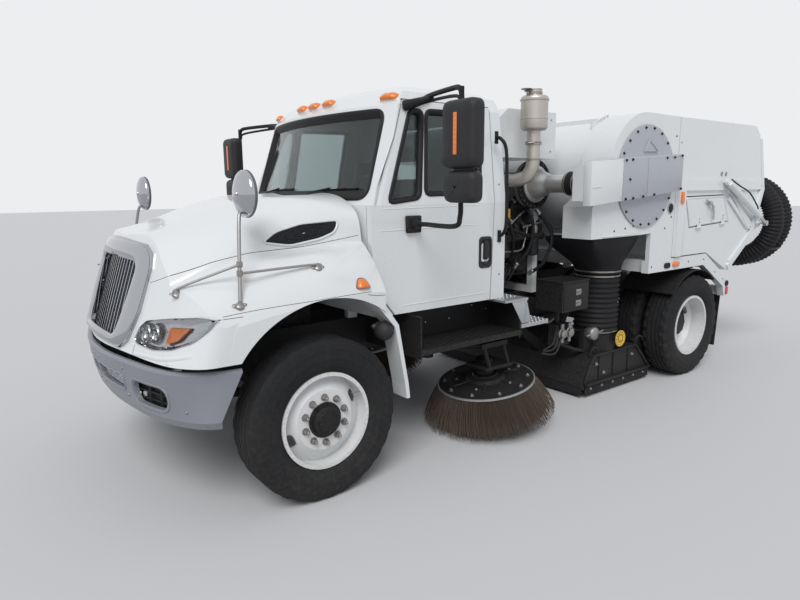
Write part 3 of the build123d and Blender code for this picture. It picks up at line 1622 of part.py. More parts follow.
for side, sign in sides:
    middle = spot(sign * broom_centre[0], *broom_centre[1:])
    up = broom_up()
    with BuildPart() as gutter_broom:
        with BuildSketch(broom_plane(sign)) as broom_profile:
            with BuildLine():
                Polyline(
                    (0, 0),
                    (plate_r, 0),
                    (plate_r, -plate_thickness),
                    (bristle_root[1], -plate_thickness),
                    (bristle_tip[1], -bristle_reach),
                    (bristle_tip[0], -bristle_reach),
                    (bristle_root[0], -plate_thickness),
                    (0, -plate_thickness),
                    close=True,
                )
            make_face()
        revolve(broom_profile.sketch.faces(), axis=Axis(middle, up))
        bar(middle - up, middle + up * (motor_low - running_gap), motor_r - 20)
    write(gutter_broom, f"gutter_broom_{side}")

    with BuildPart() as broom_arm:
        bar(middle + up * motor_low, middle + up * motor_high, motor_r)
        pivot_low = spot(sign * arm_pivot[0], arm_pivot[1], arm_low_z)
        pivot_high = spot(sign * arm_pivot[0], arm_pivot[1], arm_high_z)
        bar(pivot_low, pivot_high, arm_boss_r)
        shelf = sorted((sign * (broom_centre[0] - 60), sign * (link_bar_x + 16)))
        block(*shelf, 1500, 1790, 505, 530)
        top = sorted((sign * (link_bar_x - 20), sign * (link_bar_x + 20)))
        block(*top, 1440, 1720, 690, 728)
        for place_high, place_low in link_behind:
            link_top = spot(sign * link_bar_x, place_high, link_z[0])
            bar(link_top, spot(sign * link_bar_x, place_low, link_z[1] - 8), 17)
        bar(spot(sign * arm_pivot[0], arm_pivot[1], 660), spot(sign * link_bar_x, 1560, 706), 26)
        with BuildSketch(level_plane(arm_low_z - 1)) as pin_hole:
            with Locations((sign * arm_pivot[0], arm_pivot[1])):
                Circle(arm_pin_r + running_gap)
        extrude(pin_hole.sketch, amount=arm_high_z - arm_low_z + 2, mode=Mode.SUBTRACT)
    write(broom_arm, f"broom_arm_{side}")

# Brackets on the rails that carry the broom arms
bracket_z = (arm_high_z + 1, arm_high_z + 40)
with BuildPart() as broom_brackets:
    for _, sign in sides:
        reach = sorted((sign * (rail_outer_x + seat_gap), sign * (arm_pivot[0] + 50)))
        block(*reach, arm_pivot[1] - 60, arm_pivot[1] + 60, bracket_z[0] + 12, bracket_z[1] + 12)
        bar(
            spot(sign * arm_pivot[0], arm_pivot[1], arm_low_z - 20),
            spot(sign * arm_pivot[0], arm_pivot[1], bracket_z[1]),
            arm_pin_r,
        )
        bar(
            spot(sign * arm_pivot[0], arm_pivot[1], arm_low_z - 20),
            spot(sign * arm_pivot[0], arm_pivot[1], arm_low_z - 2),
            arm_boss_r,
        )
write(broom_brackets, "broom_brackets")
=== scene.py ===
import json
import math
import random

import bmesh
import bpy
from mathutils import Matrix, Vector
from mathutils.bvhtree import BVHTree


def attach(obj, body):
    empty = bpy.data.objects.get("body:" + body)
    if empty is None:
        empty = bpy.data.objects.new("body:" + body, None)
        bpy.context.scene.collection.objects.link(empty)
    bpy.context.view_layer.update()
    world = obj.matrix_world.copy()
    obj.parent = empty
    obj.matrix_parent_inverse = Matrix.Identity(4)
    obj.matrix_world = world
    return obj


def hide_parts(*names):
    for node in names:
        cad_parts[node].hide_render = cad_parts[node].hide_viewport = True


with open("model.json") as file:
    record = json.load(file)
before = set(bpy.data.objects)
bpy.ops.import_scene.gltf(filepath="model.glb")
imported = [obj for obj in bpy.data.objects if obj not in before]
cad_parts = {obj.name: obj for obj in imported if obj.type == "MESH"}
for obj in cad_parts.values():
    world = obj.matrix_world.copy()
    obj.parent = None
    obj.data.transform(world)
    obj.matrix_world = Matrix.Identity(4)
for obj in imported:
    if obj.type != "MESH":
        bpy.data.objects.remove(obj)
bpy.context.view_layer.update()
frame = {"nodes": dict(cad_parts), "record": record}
frontAxleY = -2.5825  # places below are given behind the front axle, as on a side elevation
axleHeight = 0.512
rearAxle = 4.244
sides = (("left", 1), ("right", -1))


def vec(*values):
    return Vector(values)


def spot(x, behind, height):
    return vec(x, frontAxleY + behind, height)


def inMetres(numbers, wide):
    return [tuple(n / 1000 for n in numbers[at : at + wide]) for at in range(0, len(numbers), wide)]


def pairs(*numbers):  # millimetres, two by two
    return inMetres(numbers, 2)


def triples(*numbers):
    return inMetres(numbers, 3)


# Camera at the photograph's place
cameraLook = {
    "place": (4.234, -1.795, 1.903),
    "yaw": 52.63,
    "pitch": -10.33,
    "roll": -0.44,
    "lens": 27.608,
}


def makeCamera():
    data = bpy.data.cameras.new("streetCamera")
    data.sensor_width = 36
    data.lens = cameraLook["lens"]
    data.clip_end = 200
    camera = bpy.data.objects.new("streetCamera", data)
    bpy.context.scene.collection.objects.link(camera)
    yaw, pitch, roll = (math.radians(cameraLook[name]) for name in ("yaw", "pitch", "roll"))
    ahead = vec(-math.sin(yaw) * math.cos(pitch), math.cos(yaw) * math.cos(pitch), math.sin(pitch))
    across = vec(math.cos(yaw), math.sin(yaw), 0)
    upward = across.cross(ahead)
    rolledAcross = across * math.cos(roll) + upward * math.sin(roll)
    rolledUp = upward * math.cos(roll) - across * math.sin(roll)
    turn = Matrix((rolledAcross, rolledUp, -ahead)).transposed().to_4x4()
    camera.matrix_world = Matrix.Translation(spot(*cameraLook["place"])) @ turn
    bpy.context.scene.camera = camera


makeCamera()
bpy.context.scene.view_settings.view_transform = "Standard"
print("camera ready")


# Nodes: links go by socket name or number, and other values by socket name
def addNode(tree, kind, settings=None, links=None, **values):
    node = tree.nodes.new(kind)
    for key, value in (settings or {}).items():
        setattr(node, key, value)
    for key, value in values.items():
        node.inputs[key.replace("_", " ")].default_value = value
    for key, source in (links or {}).items():
        tree.links.new(source, node.inputs[key])
    return node


def fillSockets(tree, node, values):
    for place, value in values:
        if isinstance(value, bpy.types.NodeSocket):
            tree.links.new(value, node.inputs[place])
        elif value is not None:
            node.inputs[place].default_value = value


def mathNode(tree, operation, first, second=None, third=None, clamp=False):
    node = addNode(tree, "ShaderNodeMath", {"operation": operation, "use_clamp": clamp})
    fillSockets(tree, node, enumerate((first, second, third)))
    return node.outputs[0]


def times(tree, first, second, clamp=False):
    return mathNode(tree, "MULTIPLY", first, second, clamp=clamp)


def mixColour(tree, share, first, second):
    node = addNode(tree, "ShaderNodeMix", {"data_type": "RGBA"})
    fillSockets(tree, node, ((0, share), (6, first), (7, second)))
    return node.outputs[2]


def rampMask(tree, source, low, high):
    node = addNode(tree, "ShaderNodeMapRange", {"interpolation_type": "SMOOTHSTEP"}, {"Value": source})
    fillSockets(tree, node, (("From Min", low), ("From Max", high)))
    return node.outputs[0]


def noise(tree, where, scale, detail):
    links = {"Vector": where} if where else {}
    return addNode(tree, "ShaderNodeTexNoise", links=links, Scale=scale, Detail=detail).outputs["Fac"]


# Floor, backdrop and overcast light
stageLook = {
    "floorColour": (0.6, 0.6, 0.61, 1),
    "skyColour": (0.8, 0.82, 0.86, 1),
    "skyStrength": 0.62,
    "seenColour": (0.86, 0.87, 0.89, 1),
    "seenStrength": 0.98,
    "keyEnergy": 2.0,
    "keyAngle": 32,
    "keyTurn": (38, 22, 20),
}


def makeStage():
    look = stageLook
    world = bpy.data.worlds.new("overcast")
    bpy.context.scene.world = world
    world.use_nodes = True
    tree = world.node_tree
    tree.nodes.clear()
    lit = addNode(tree, "ShaderNodeBackground", Color=look["skyColour"], Strength=look["skyStrength"])
    seen = addNode(tree, "ShaderNodeBackground", Color=look["seenColour"], Strength=look["seenStrength"])
    rays = addNode(tree, "ShaderNodeLightPath").outputs
    mirrored = mathNode(tree, "MAXIMUM", rays["Is Glossy Ray"], rays["Is Transmission Ray"])
    seenToo = mathNode(tree, "MAXIMUM", rays["Is Camera Ray"], mirrored)
    pick = addNode(tree, "ShaderNodeMixShader", links={0: seenToo, 1: lit.outputs[0], 2: seen.outputs[0]})
    addNode(tree, "ShaderNodeOutputWorld", links={0: pick.outputs[0]})

    sun = bpy.data.lights.new("softKey", "SUN")
    sun.energy = look["keyEnergy"]
    sun.angle = math.radians(look["keyAngle"])
    key = bpy.data.objects.new("softKey", sun)
    bpy.context.scene.collection.objects.link(key)
    key.rotation_euler = [math.radians(turn) for turn in look["keyTurn"]]

    bpy.ops.mesh.primitive_plane_add(size=120, location=(0, 0, 0))
    floor = bpy.context.object
    floor.name = "floor"
    material = bpy.data.materials.new("paleFloor")
    material.use_nodes = True
    shader = material.node_tree.nodes["Principled BSDF"]
    shader.inputs["Base Color"].default_value = look["floorColour"]
    shader.inputs["Roughness"].default_value = 0.85
    shader.inputs["Specular IOR Level"].default_value = 0.2
    floor.data.materials.append(material)


makeStage()
print("stage ready")


# Shader groups shared by the finishes
def startGroup(name, inputs, outputs):
    group = bpy.data.node_groups.new(name, "ShaderNodeTree")
    kinds = {True: "NodeSocketColor", False: "NodeSocketFloat"}
    for label, value in inputs.items():
        kind = kinds[isinstance(value, tuple)]
        group.interface.new_socket(name=label, in_out="INPUT", socket_type=kind).default_value = value
    for label in outputs:
        group.interface.new_socket(name=label, in_out="OUTPUT", socket_type=kinds[label == "Colour"])
    where = addNode(group, "ShaderNodeTexCoord").outputs["Object"]
    given, out = group.nodes.new("NodeGroupInput").outputs, group.nodes.new("NodeGroupOutput").inputs
    return group, given, out, where


def roadDustGroup():  # dust that gathers low down and in broad patches, with streaks below edges
    inputs = {"Colour": (0.8, 0.8, 0.8, 1), "Dust": (0.15, 0.145, 0.135, 1), "Amount": 0.3, "Reach": 1.2}
    group, given, out, where = startGroup("roadDust", inputs, ("Colour", "Mask"))
    up = addNode(group, "ShaderNodeSeparateXYZ", links={0: where}).outputs["Z"]
    low = mathNode(group, "SUBTRACT", 1.0, mathNode(group, "DIVIDE", up, given["Reach"]), clamp=True)
    stretch = addNode(group, "ShaderNodeMapping", links={"Vector": where}, Scale=(9, 9, 0.7)).outputs[0]
    patch = rampMask(group, noise(group, where, 2.3, 6.0), 0.38, 0.72)
    speck = rampMask(group, noise(group, where, 38.0, 4.0), 0.3, 0.9)
    streak = rampMask(group, noise(group, stretch, 2.0, 5.0), 0.55, 0.78)
    lowPart = times(group, low, mathNode(group, "ADD", 0.25, times(group, speck, 0.6)))
    mixed = mathNode(group, "ADD", times(group, patch, 0.35), times(group, streak, 0.4))
    total = mathNode(group, "ADD", times(group, lowPart, 1.3), times(group, mixed, 0.45))
    mask = times(group, total, given["Amount"], clamp=True)
    group.links.new(mixColour(group, mask, given["Colour"], given["Dust"]), out["Colour"])
    group.links.new(mask, out["Mask"])
    return group


def surfaceGrainGroup():  # height for orange peel, moulded grain or cast skin
    group, given, out, where = startGroup("surfaceGrain", {"Scale": 300.0, "Coarse": 0.3}, ("Height",))
    links = {"Vector": where, "Scale": given["Scale"]}
    fine = addNode(group, "ShaderNodeTexNoise", links=links, Detail=2.0).outputs["Fac"]
    slow = times(group, noise(group, where, 14.0, 2.0), given["Coarse"])
    group.links.new(mathNode(group, "ADD", fine, slow), out["Height"])
    return group


def rubWearGroup():  # bright rubs and chips on exposed edges
    inputs = {"Colour": (0.03, 0.03, 0.03, 1), "Worn": (0.2, 0.19, 0.18, 1), "Amount": 0.5}
    group, given, out, where = startGroup("rubWear", inputs, ("Colour", "Mask"))
    edge = rampMask(group, addNode(group, "ShaderNodeNewGeometry").outputs["Pointiness"], 0.52, 0.6)
    broken = rampMask(group, noise(group, where, 55.0, 8.0), 0.42, 0.62)
    mask = times(group, times(group, edge, broken), given["Amount"], clamp=True)
    group.links.new(mixColour(group, mask, given["Colour"], given["Worn"]), out["Colour"])
    group.links.new(mask, out["Mask"])
    return group


groups = {"dust": roadDustGroup(), "grain": surfaceGrainGroup(), "wear": rubWearGroup()}

# Finishes: colour, roughness, metallic, coat, shine, dust and its reach, grain scale and depth, wear and
# worn colour
finishes = {
    "whitePaint": ((0.7, 0.72, 0.725), 0.22, 0, 0.5, 0.5, 0.055, 1.5, 420, 15e-5, 0.05, (0.4, 0.38, 0.36)),
    "wheelPaint": ((0.7, 0.71, 0.71), 0.35, 0, 0.2, 0.5, 0.16, 1.1, 300, 0.0003, 0.2, (0.28, 0.16, 0.09)),
    "bumperPaint": ((0.215, 0.225, 0.255), 0.42, 0, 0.15, 0.5, 0.1, 1.2, 500, 4e-4, 0.15, (0.35, 0.35, 0.36)),
    "panelPaint": ((0.385, 0.4, 0.44), 0.38, 0, 0.2, 0.5, 0.1, 1.2, 400, 0.0002, 0.15, (0.5, 0.5, 0.5)),
    "blackPaint": ((0.012, 0.012, 0.013), 0.5, 0, 0, 0.22, 0.12, 1.1, 260, 0.0005, 0.15, (0.1, 0.085, 0.07)),
    "engineIron": ((0.022, 0.022, 0.024), 0.6, 0.2, 0, 0.25, 0.12, 2.2, 180, 9e-4, 0.15, (0.16, 0.15, 0.14)),
    "treadMetal": ((0.47, 0.49, 0.5), 0.42, 0.75, 0, 0.5, 0.25, 1.8, 90, 0.002, 0.3, (0.65, 0.65, 0.65)),
    "rodSteel": ((0.6, 0.6, 0.61), 0.18, 1, 0, 0.5, 0.08, 2, 600, 0.0002, 0, (0.6, 0.6, 0.6)),
    "boltSteel": ((0.36, 0.35, 0.34), 0.42, 0.9, 0, 0.5, 0.2, 2, 400, 0.0008, 0.3, (0.25, 0.17, 0.11)),
    "brightChrome": ((0.46, 0.47, 0.49), 0.08, 1, 0, 0.5, 0.07, 2, 30, 0.0005, 0, (0.7, 0.7, 0.7)),
    "canisterSteel": ((0.52, 0.485, 0.44), 0.42, 0.8, 0, 0.5, 0.1, 4, 160, 0.0006, 0.2, (0.26, 0.17, 0.11)),
    "canisterPale": ((0.66, 0.66, 0.655), 0.38, 0.85, 0, 0.5, 0.1, 4, 160, 0.0008, 0.2, (0.4, 0.38, 0.35)),
    "tyreRubber": ((0.01, 0.0105, 0.012), 0.72, 0, 0, 0.2, 0.2, 1.3, 300, 8e-4, 0.1, (0.035, 0.034, 0.033)),
    "hoseRubber": ((0.011, 0.011, 0.013), 0.62, 0, 0, 0.2, 0.12, 1.8, 260, 0.0006, 0.1, (0.04, 0.04, 0.04)),
    "mirrorPlastic": ((0.018, 0.018, 0.02), 0.48, 0, 0, 0.3, 0.12, 2.6, 700, 16e-4, 0.2, (0.09, 0.09, 0.09)),
    "trimPlastic": ((0.115, 0.118, 0.125), 0.6, 0, 0, 0.5, 0.1, 2, 500, 0.0015, 0.1, (0.2, 0.2, 0.2)),
    "sealRubber": ((0.01, 0.01, 0.011), 0.5, 0, 0, 0.25, 0.12, 2, 400, 0.0006, 0, (0.05, 0.05, 0.05)),
    "amberLens": ((0.8, 0.2, 0.025), 0.18, 0, 0.6, 0.5, 0.1, 1.5, 260, 0.002, 0, (0.8, 0.3, 0.1)),
    "redLens": ((0.55, 0.02, 0.02), 0.18, 0, 0.6, 0.5, 0.1, 1.5, 260, 0.002, 0, (0.6, 0.1, 0.1)),
    "signYellow": ((0.75, 0.47, 0.04), 0.4, 0, 0, 0.5, 0.3, 1, 300, 0.0006, 0.5, (0.3, 0.2, 0.1)),
    "bristleFibre": ((0.062, 0.04, 0.024), 0.7, 0, 0, 0.5, 0.3, 0.5, 150, 0.001, 0, (0.1, 0.06, 0.04)),
    "darkMesh": ((0.008, 0.009, 0.012), 0.55, 0, 0, 0.25, 0.1, 1.8, 300, 0.0008, 0.2, (0.08, 0.08, 0.09)),
}
glasses = {"windowGlass": (0.48, 0.55, 0.55), "lampGlass": (0.95, 0.96, 0.97)}
madeFinishes = {}


def makeFinish(name):
    if name in madeFinishes:
        return madeFinishes[name]
    material = madeFinishes[name] = bpy.data.materials.new(name)
    material.use_nodes = True
    tree = material.node_tree
    shader = tree.nodes["Principled BSDF"]
    if name in glasses:
        plain = {"Base Color": (*glasses[name], 1), "Transmission Weight": 1.0, "IOR": 1.45}
        film = noise(tree, None, 9.0, 6.0)
        fed = {"Roughness": mathNode(tree, "MULTIPLY_ADD", film, 0.08, 0.0)}
    else:
        colour, rough, metal, coat, shine, dirt, reach, grainScale, depth, rub, worn = finishes[name]
        wear = addNode(tree, "ShaderNodeGroup", {"node_tree": groups["wear"]}, Amount=rub)
        fillSockets(tree, wear, (("Colour", (*colour, 1)), ("Worn", (*worn, 1))))
        links = {"Colour": wear.outputs["Colour"]}
        amounts = {"Amount": dirt, "Reach": reach}
        dust = addNode(tree, "ShaderNodeGroup", {"node_tree": groups["dust"]}, links, **amounts)
        amounts = {"Scale": float(grainScale), "Coarse": 0.4}
        grain = addNode(tree, "ShaderNodeGroup", {"node_tree": groups["grain"]}, **amounts)
        links = {"Height": grain.outputs["Height"]}
        bump = addNode(tree, "ShaderNodeBump", links=links, Strength=0.6, Distance=depth)
        plain = {"Metallic": metal, "Specular IOR Level": shine}
        plain |= {"Coat Weight": coat, "Coat Roughness": 0.12}
        soiled = mathNode(tree, "ADD", rough, times(tree, dust.outputs["Mask"], 0.5), clamp=True)
        fed = {"Base Color": dust.outputs["Colour"], "Roughness": soiled, "Normal": bump.outputs[0]}
    fillSockets(tree, shader, [*plain.items(), *fed.items()])
    return material


# The record's slots take the finishes of the same name, but for two, and one node has its own
slotFinish = {"lamp_plastic": "lampGlass", "bristle": "bristleFibre"}
nodeFinish = {"belt_guard": "whitePaint"}  # its grey panels are pieces of their own


def shadeSmooth(thing, angle):
    bpy.ops.object.select_all(action="DESELECT")
    thing.select_set(True)
    bpy.context.view_layer.objects.active = thing
    bpy.ops.object.shade_smooth_by_angle(angle=math.radians(angle))


def dressFrame():
    slots = {row["node"]: row["material_slot"] for row in frame["record"]["subparts"]}
    for slot in slots.values():
        first, *rest = slot.split("_")
        finish = slotFinish.setdefault(slot, first + "".join(word.title() for word in rest))
    for name, node in frame["nodes"].items():
        node.data.materials.clear()
        node.data.materials.append(makeFinish(nodeFinish.get(name, slotFinish[slots[name]])))
        shadeSmooth(node, 32)


dressFrame()
print("frame dressed")


# Shapes shared by the pieces. Each adds to one bmesh, and makePiece turns that into an object
def newShape():
    return bmesh.new()


def makePiece(name, shape, finish, body="chassis", smooth=34, replaced=()):
    bmesh.ops.recalc_face_normals(shape, faces=shape.faces)
    mesh = bpy.data.meshes.new(name)
    shape.to_mesh(mesh)
    shape.free()
    piece = bpy.data.objects.new(name, mesh)
    bpy.context.scene.collection.objects.link(piece)
    mesh.materials.append(makeFinish(finish))
    shadeSmooth(piece, smooth)
    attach(piece, body)
    if replaced:
        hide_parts(*replaced)
    return piece


def crossAxes(axis):
    axis = Vector(axis).normalized()
    helper = vec(0, 0, 1) if abs(axis.z) < 0.9 else vec(1, 0, 0)
    first = axis.cross(helper).normalized()
    return first, axis.cross(first).normalized()


def circle(count, radius, start=0):  # places round a circle, as two offsets
    turns = [2 * math.pi * (step + start) / count for step in range(count)]
    return [(math.cos(turn) * radius, math.sin(turn) * radius) for turn in turns]


def sideCircle(middle, count, radius, start=0):
    return [middle + vec(0, dy, dz) for dy, dz in circle(count, radius, start)]


def scaled(profile, radius):
    return [(along, radius * share) for along, share in profile]


def smoothPath(points, steps=8, closed=False):
    points = [Vector(point) for point in points]
    count = len(points)
    path = []
    for place in range(count if closed else count - 1):
        near = [place + step for step in (-1, 0, 1, 2)]
        four = [points[at % count if closed else min(max(at, 0), count - 1)] for at in near]
        one = (four[2] - four[0]) * 0.5
        two = (four[3] - four[1]) * 0.5
        for step in range(steps):
            t = step / steps
            blend = (2 * t**3 - 3 * t**2 + 1, t**3 - 2 * t**2 + t, 3 * t**2 - 2 * t**3, t**3 - t**2)
            path.append(four[1] * blend[0] + one * blend[1] + four[2] * blend[2] + two * blend[3])
    return path if closed else path + [points[-1]]


def joinRings(shape, rings, closed=False, capped=True):
    around = len(rings[0])
    pairsOfRings = list(zip(rings, rings[1:])) + ([(rings[-1], rings[0])] if closed else [])
    for one, two in pairsOfRings:
        for place in range(around):
            after = (place + 1) % around
            shape.faces.new((one[place], one[after], two[after], two[place]))
    if capped and not closed:
        shape.faces.new(tuple(reversed(rings[0])))
        shape.faces.new(tuple(rings[-1]))


def addBand(shape, loops, closed=False, capped=False):  # a sheet through several closed loops of points
    rings = [[shape.verts.new(Vector(point)) for point in loop] for loop in loops]
    joinRings(shape, rings, closed, capped)
    return shape


def addTube(shape, points, radius, around=12, steps=0, closed=False):
    path = smoothPath(points, steps, closed) if steps else [Vector(point) for point in points]
    count = len(path)
    rings = []
    first = None
    for place, point in enumerate(path):
        before = path[place - 1] if place or closed else point
        after = path[(place + 1) % count] if place + 1 < count or closed else point
        ahead = (after - before).normalized()
        first = first or crossAxes(ahead)[0]
        first = (first - ahead * first.dot(ahead)).normalized()
        second = ahead.cross(first)
        wide = radius(place / (count - 1)) if callable(radius) else radius
        rings.append([point + (first * c + second * s) * wide for c, s in circle(around, 1)])
    return addBand(shape, rings, closed, True)


def addLathe(shape, origin, axis, profile, around=32, closed=False):
    origin = Vector(origin)
    axis = Vector(axis).normalized()
    first, second = crossAxes(axis)
    outs = [first * c + second * s for c, s in circle(around, 1)]
    rings = [[origin + axis * along + out * radius for out in outs] for along, radius in profile]
    return addBand(shape, rings, closed, True)


def addNuts(shape, places, axis, size, height, stud=0.0):
    radius = size / math.sqrt(3)
    top = height + stud
    for place in places:
        addLathe(shape, place, axis, [(0, radius * 1.25), (height * 0.12, radius * 1.25)], 16)
        hexagon = [(height * 0.1, radius), (height * 0.85, radius), (height, radius * 0.86)]
        addLathe(shape, place, axis, hexagon, 6)
        if stud:
            profile = [(height * 0.9, radius * 0.5), (top, radius * 0.5), (top + 0.002, radius * 0.38)]
            addLathe(shape, place, axis, profile, 12)
    return shape


def addDomes(shape, places, axis, radius, height, around=12):
    profile = [(height * math.sin(step * 0.3), radius * math.cos(step * 0.3)) for step in range(5)]
    for place in places:
        addLathe(shape, place, axis, profile, around)
    return shape


def addSlab(shape, outline, thickness, bevel=0.003):
    thickness = Vector(thickness)
    low = [shape.verts.new(Vector(point)) for point in outline]
    high = [shape.verts.new(Vector(point) + thickness) for point in outline]
    faces = [shape.faces.new(low), shape.faces.new(list(reversed(high)))]
    for place in range(len(low)):
        after = (place + 1) % len(low)
        faces.append(shape.faces.new((low[place], high[place], high[after], low[after])))
    if bevel:
        edges = list({edge for face in faces for edge in face.edges})
        bmesh.ops.bevel(shape, geom=edges, offset=bevel, segments=2, affect="EDGES", profile=0.5)
    return shape


def addBox(shape, low, high, bevel=0.004):
    low, high = ([pick(one, two) for one, two in zip(low, high)] for pick in (min, max))
    corners = [(x, y, low[2]) for x, y in rectangle(low[0], low[1], high[0], high[1])]
    return addSlab(shape, corners, (0, 0, high[2] - low[2]), bevel)


def addGrid(shape, rows):
    grid = [[shape.verts.new(Vector(point)) for point in row] for row in rows]
    for one, two in zip(grid, grid[1:]):
        for place in range(len(one) - 1):
            shape.faces.new((one[place], one[place + 1], two[place + 1], two[place]))


# Outlines in two axes, and places that a left and a right piece share
def rectangle(left, low, right, high):
    return (left, low), (right, low), (right, high), (left, high)


def upright(x, points):
    return [spot(x, d, z) for d, z in points]


def crossways(d, points, sign=1):
    return [spot(sign * x, d, z) for x, z in points]


def mirrored(sign, points):
    return [spot(sign * x, d, z) for x, d, z in points]


def addPlate(shape, sign, x, points, thick, bevel=0.003):
    return addSlab(shape, upright(sign * x, points), (sign * thick, 0, 0), bevel)


def addBar(shape, start, end, half, thickness, bevel):  # a flat bar on a side
    along = (end - start).normalized()
    across = vec(0, along.z, -along.y) * half
    addSlab(shape, [start - across, end - across, end + across, start + across], thickness, bevel)


def roundLoop(points, radius, steps=5):
    points = [Vector(point) for point in points]
    loop = []
    for place, corner in enumerate(points):
        before, after = points[place - 1], points[(place + 1) % len(points)]
        into = (before - corner).normalized()
        out = (after - corner).normalized()
        reach = min(radius, (before - corner).length * 0.45, (after - corner).length * 0.45)
        for step in range(steps + 1):
            t = step / steps
            start, end = corner + into * reach, corner + out * reach
            loop.append(start * (1 - t) ** 2 + corner * 2 * t * (1 - t) + end * t**2)
    return loop


def growLoop(loop, distance):
    area = sum(a.x * b.y - b.x * a.y for a, b in zip(loop, loop[1:] + loop[:1]))
    sign = 1 if area > 0 else -1
    grown = []
    for place, point in enumerate(loop):
        ahead = (loop[(place + 1) % len(loop)] - loop[place - 1]).normalized()
        grown.append(point + vec(ahead.y, -ahead.x) * distance * sign)
    return grown


def softLoop(points, radius, gap, steps=5):  # rounded corners, and points along the edges
    dense = []
    loop = roundLoop(points, radius, steps)
    for one, two in zip(loop, loop[1:] + loop[:1]):
        count = max(1, int((two - one).length / gap))
        dense += [one.lerp(two, step / count) for step in range(count)]
    return dense


def centreOf(loop):
    return sum(loop, Vector((0,) * len(loop[0]))) / len(loop)


def shrunk(loop, share):
    middle = centreOf(loop)
    return [middle + (point - middle) * share for point in loop]


# What a ray meets first on these CAD nodes
def surfaceOf(*names):
    trees = []
    for name in names:
        mesh = frame["nodes"][name].data
        corners = [v.co.copy() for v in mesh.vertices]
        trees.append(BVHTree.FromPolygons(corners, [tuple(p.vertices) for p in mesh.polygons]))

    def meet(start, direction, lift=0.0):
        direction = Vector(direction)
        hits = [tree.ray_cast(Vector(start), direction) for tree in trees]
        hits = [hit for hit in hits if hit[0] is not None]
        if not hits:
            return None
        place, normal, _, _ = min(hits, key=lambda hit: hit[3])
        return place + (-normal if normal.dot(direction) > 0 else normal) * lift

    return meet


def sidePoint(meet, sign, behind, height, lift=0.0):
    return meet(spot(sign * 2.0, behind, height), (-sign, 0, 0), lift)


def frontPoint(meet, x, height, lift=0.0):
    return meet(spot(x, -2.0, height), (0, 1, 0), lift)


def topPoint(meet, x, behind, lift=0.0):
    return meet(spot(x, behind, 3.0), (0, 0, -1), lift)


def addStuds(shape, meet, sign, places, radius=0.009, height=0.005):
    hits = [sidePoint(meet, sign, *place) for place in places]
    return addDomes(shape, [hit for hit in hits if hit], (sign, 0, 0), radius, height)


def surfaceStrip(meet, points, half, lift, direct, steps=10, ends=0.25):  # a low rounded strip on a surface
    path = smoothPath([Vector((*point, 0)) for point in points], steps)
    rows = []
    count = len(path) - 1
    for place, point in enumerate(path):
        ahead = (path[min(place + 1, count)] - path[max(place - 1, 0)]).normalized()
        across = vec(-ahead.y, ahead.x, 0)
        fade = min(1.0, min(place, count - place) / max(1, count * ends)) if ends else 1.0
        shares = ((-1, -0.3), (-0.75, 0.45), (-0.3, 0.95), (0.3, 0.95), (0.75, 0.45), (1, -0.3))
        wheres = [(point + across * offset * half, lift * up * fade) for offset, up in shares]
        row = [direct(meet, where.x, where.y, up) for where, up in wheres]
        if all(row):
            rows.append(row)
    return rows


def addBlister(shape, reach, loop, outward, levels):  # a pillow, reach finds the surface under a point
    rings = [[reach(point) for point in shrunk(loop, share)] for share, lift in levels]
    if all(all(ring) for ring in rings):
        outward = Vector(outward)
        lifts = [outward * lift for share, lift in levels]
        addBand(shape, [[point + lift for point in ring] for ring, lift in zip(rings, lifts)])
    return shape


# Tyres with ribs, grooves and cut shoulders
tyreLook = {
    "outerRadius": 0.511,
    "grooves": (-0.064, -0.022, 0.022, 0.064),
    "grooveDepth": 0.013,
    "around": 150,
    "shoulderCut": {"front": 0.004, "rear": 0.012},
    "sipe": 0.0035,
    "places": {"front": (1.031,), "rear": (1.076, 0.756)},
    # half width and radius of the side, from the bead out, smooth and then cut by lugs
    "bead": pairs(
        105.6, 290.6, 105.6, 306, 112, 310, 118, 320, 126.5, 334, 127.5, 336, 130, 338.5, 135.5, 362,
    ),
    "wall": pairs(139, 390, 139.8, 393, 139, 396, 138, 420, 134.5, 446, 136, 448, 134.5, 450),
    "shoulder": pairs(130, 470, 123, 492, 108, 508, 98, 511, 85, 511),
    "inside": pairs(100, 302.6, -100, 302.6),
}


def tyreProfile():
    look = tyreLook
    outer, depth = look["outerRadius"], look["grooveDepth"]
    side = [(x, radius, 0) for x, radius in look["bead"] + look["wall"]]
    side += [(x, radius, 1) for x, radius in look["shoulder"]]
    tread = []
    for groove in look["grooves"]:
        tread += [(groove - 0.007, outer, 2), (groove - 0.004, outer - depth, 0)]
        tread += [(groove + 0.004, outer - depth, 0), (groove + 0.007, outer, 2)]
    left = [(-x, radius, kind) for x, radius, kind in side]
    return left + tread + side[::-1] + [(x, radius, 0) for x, radius in look["inside"]]


def addTyre(shape, centre, kind):
    rings = []
    for step, (c, s) in enumerate(circle(tyreLook["around"], 1)):
        cut = tyreLook["shoulderCut"][kind] if step % 5 in (0, 1) else 0
        sipe = tyreLook["sipe"] if step % 5 == 3 else 0
        wides = [(x, radius - (0, cut, sipe)[zone]) for x, radius, zone in tyreProfile()]
        rings.append([centre + vec(x, c * wide, s * wide) for x, wide in wides])
    addBand(shape, rings, closed=True)


def makeTyres():
    for side, sign in sides:
        for kind, behind, name, body, node in (
            ("front", 0, "tyreFront", "wheel_front", "tyre_front"),
            ("rear", rearAxle, "tyresRear", "wheels_rear", "tyres_rear"),
        ):
            shape = newShape()
            for x in tyreLook["places"][kind]:
                addTyre(shape, spot(sign * x, behind, axleHeight), kind)
            makePiece(f"{name}_{side}", shape, "tyreRubber", f"{body}_{side}", 28, [f"{node}_{side}"])


makeTyres()
print("tyres made")

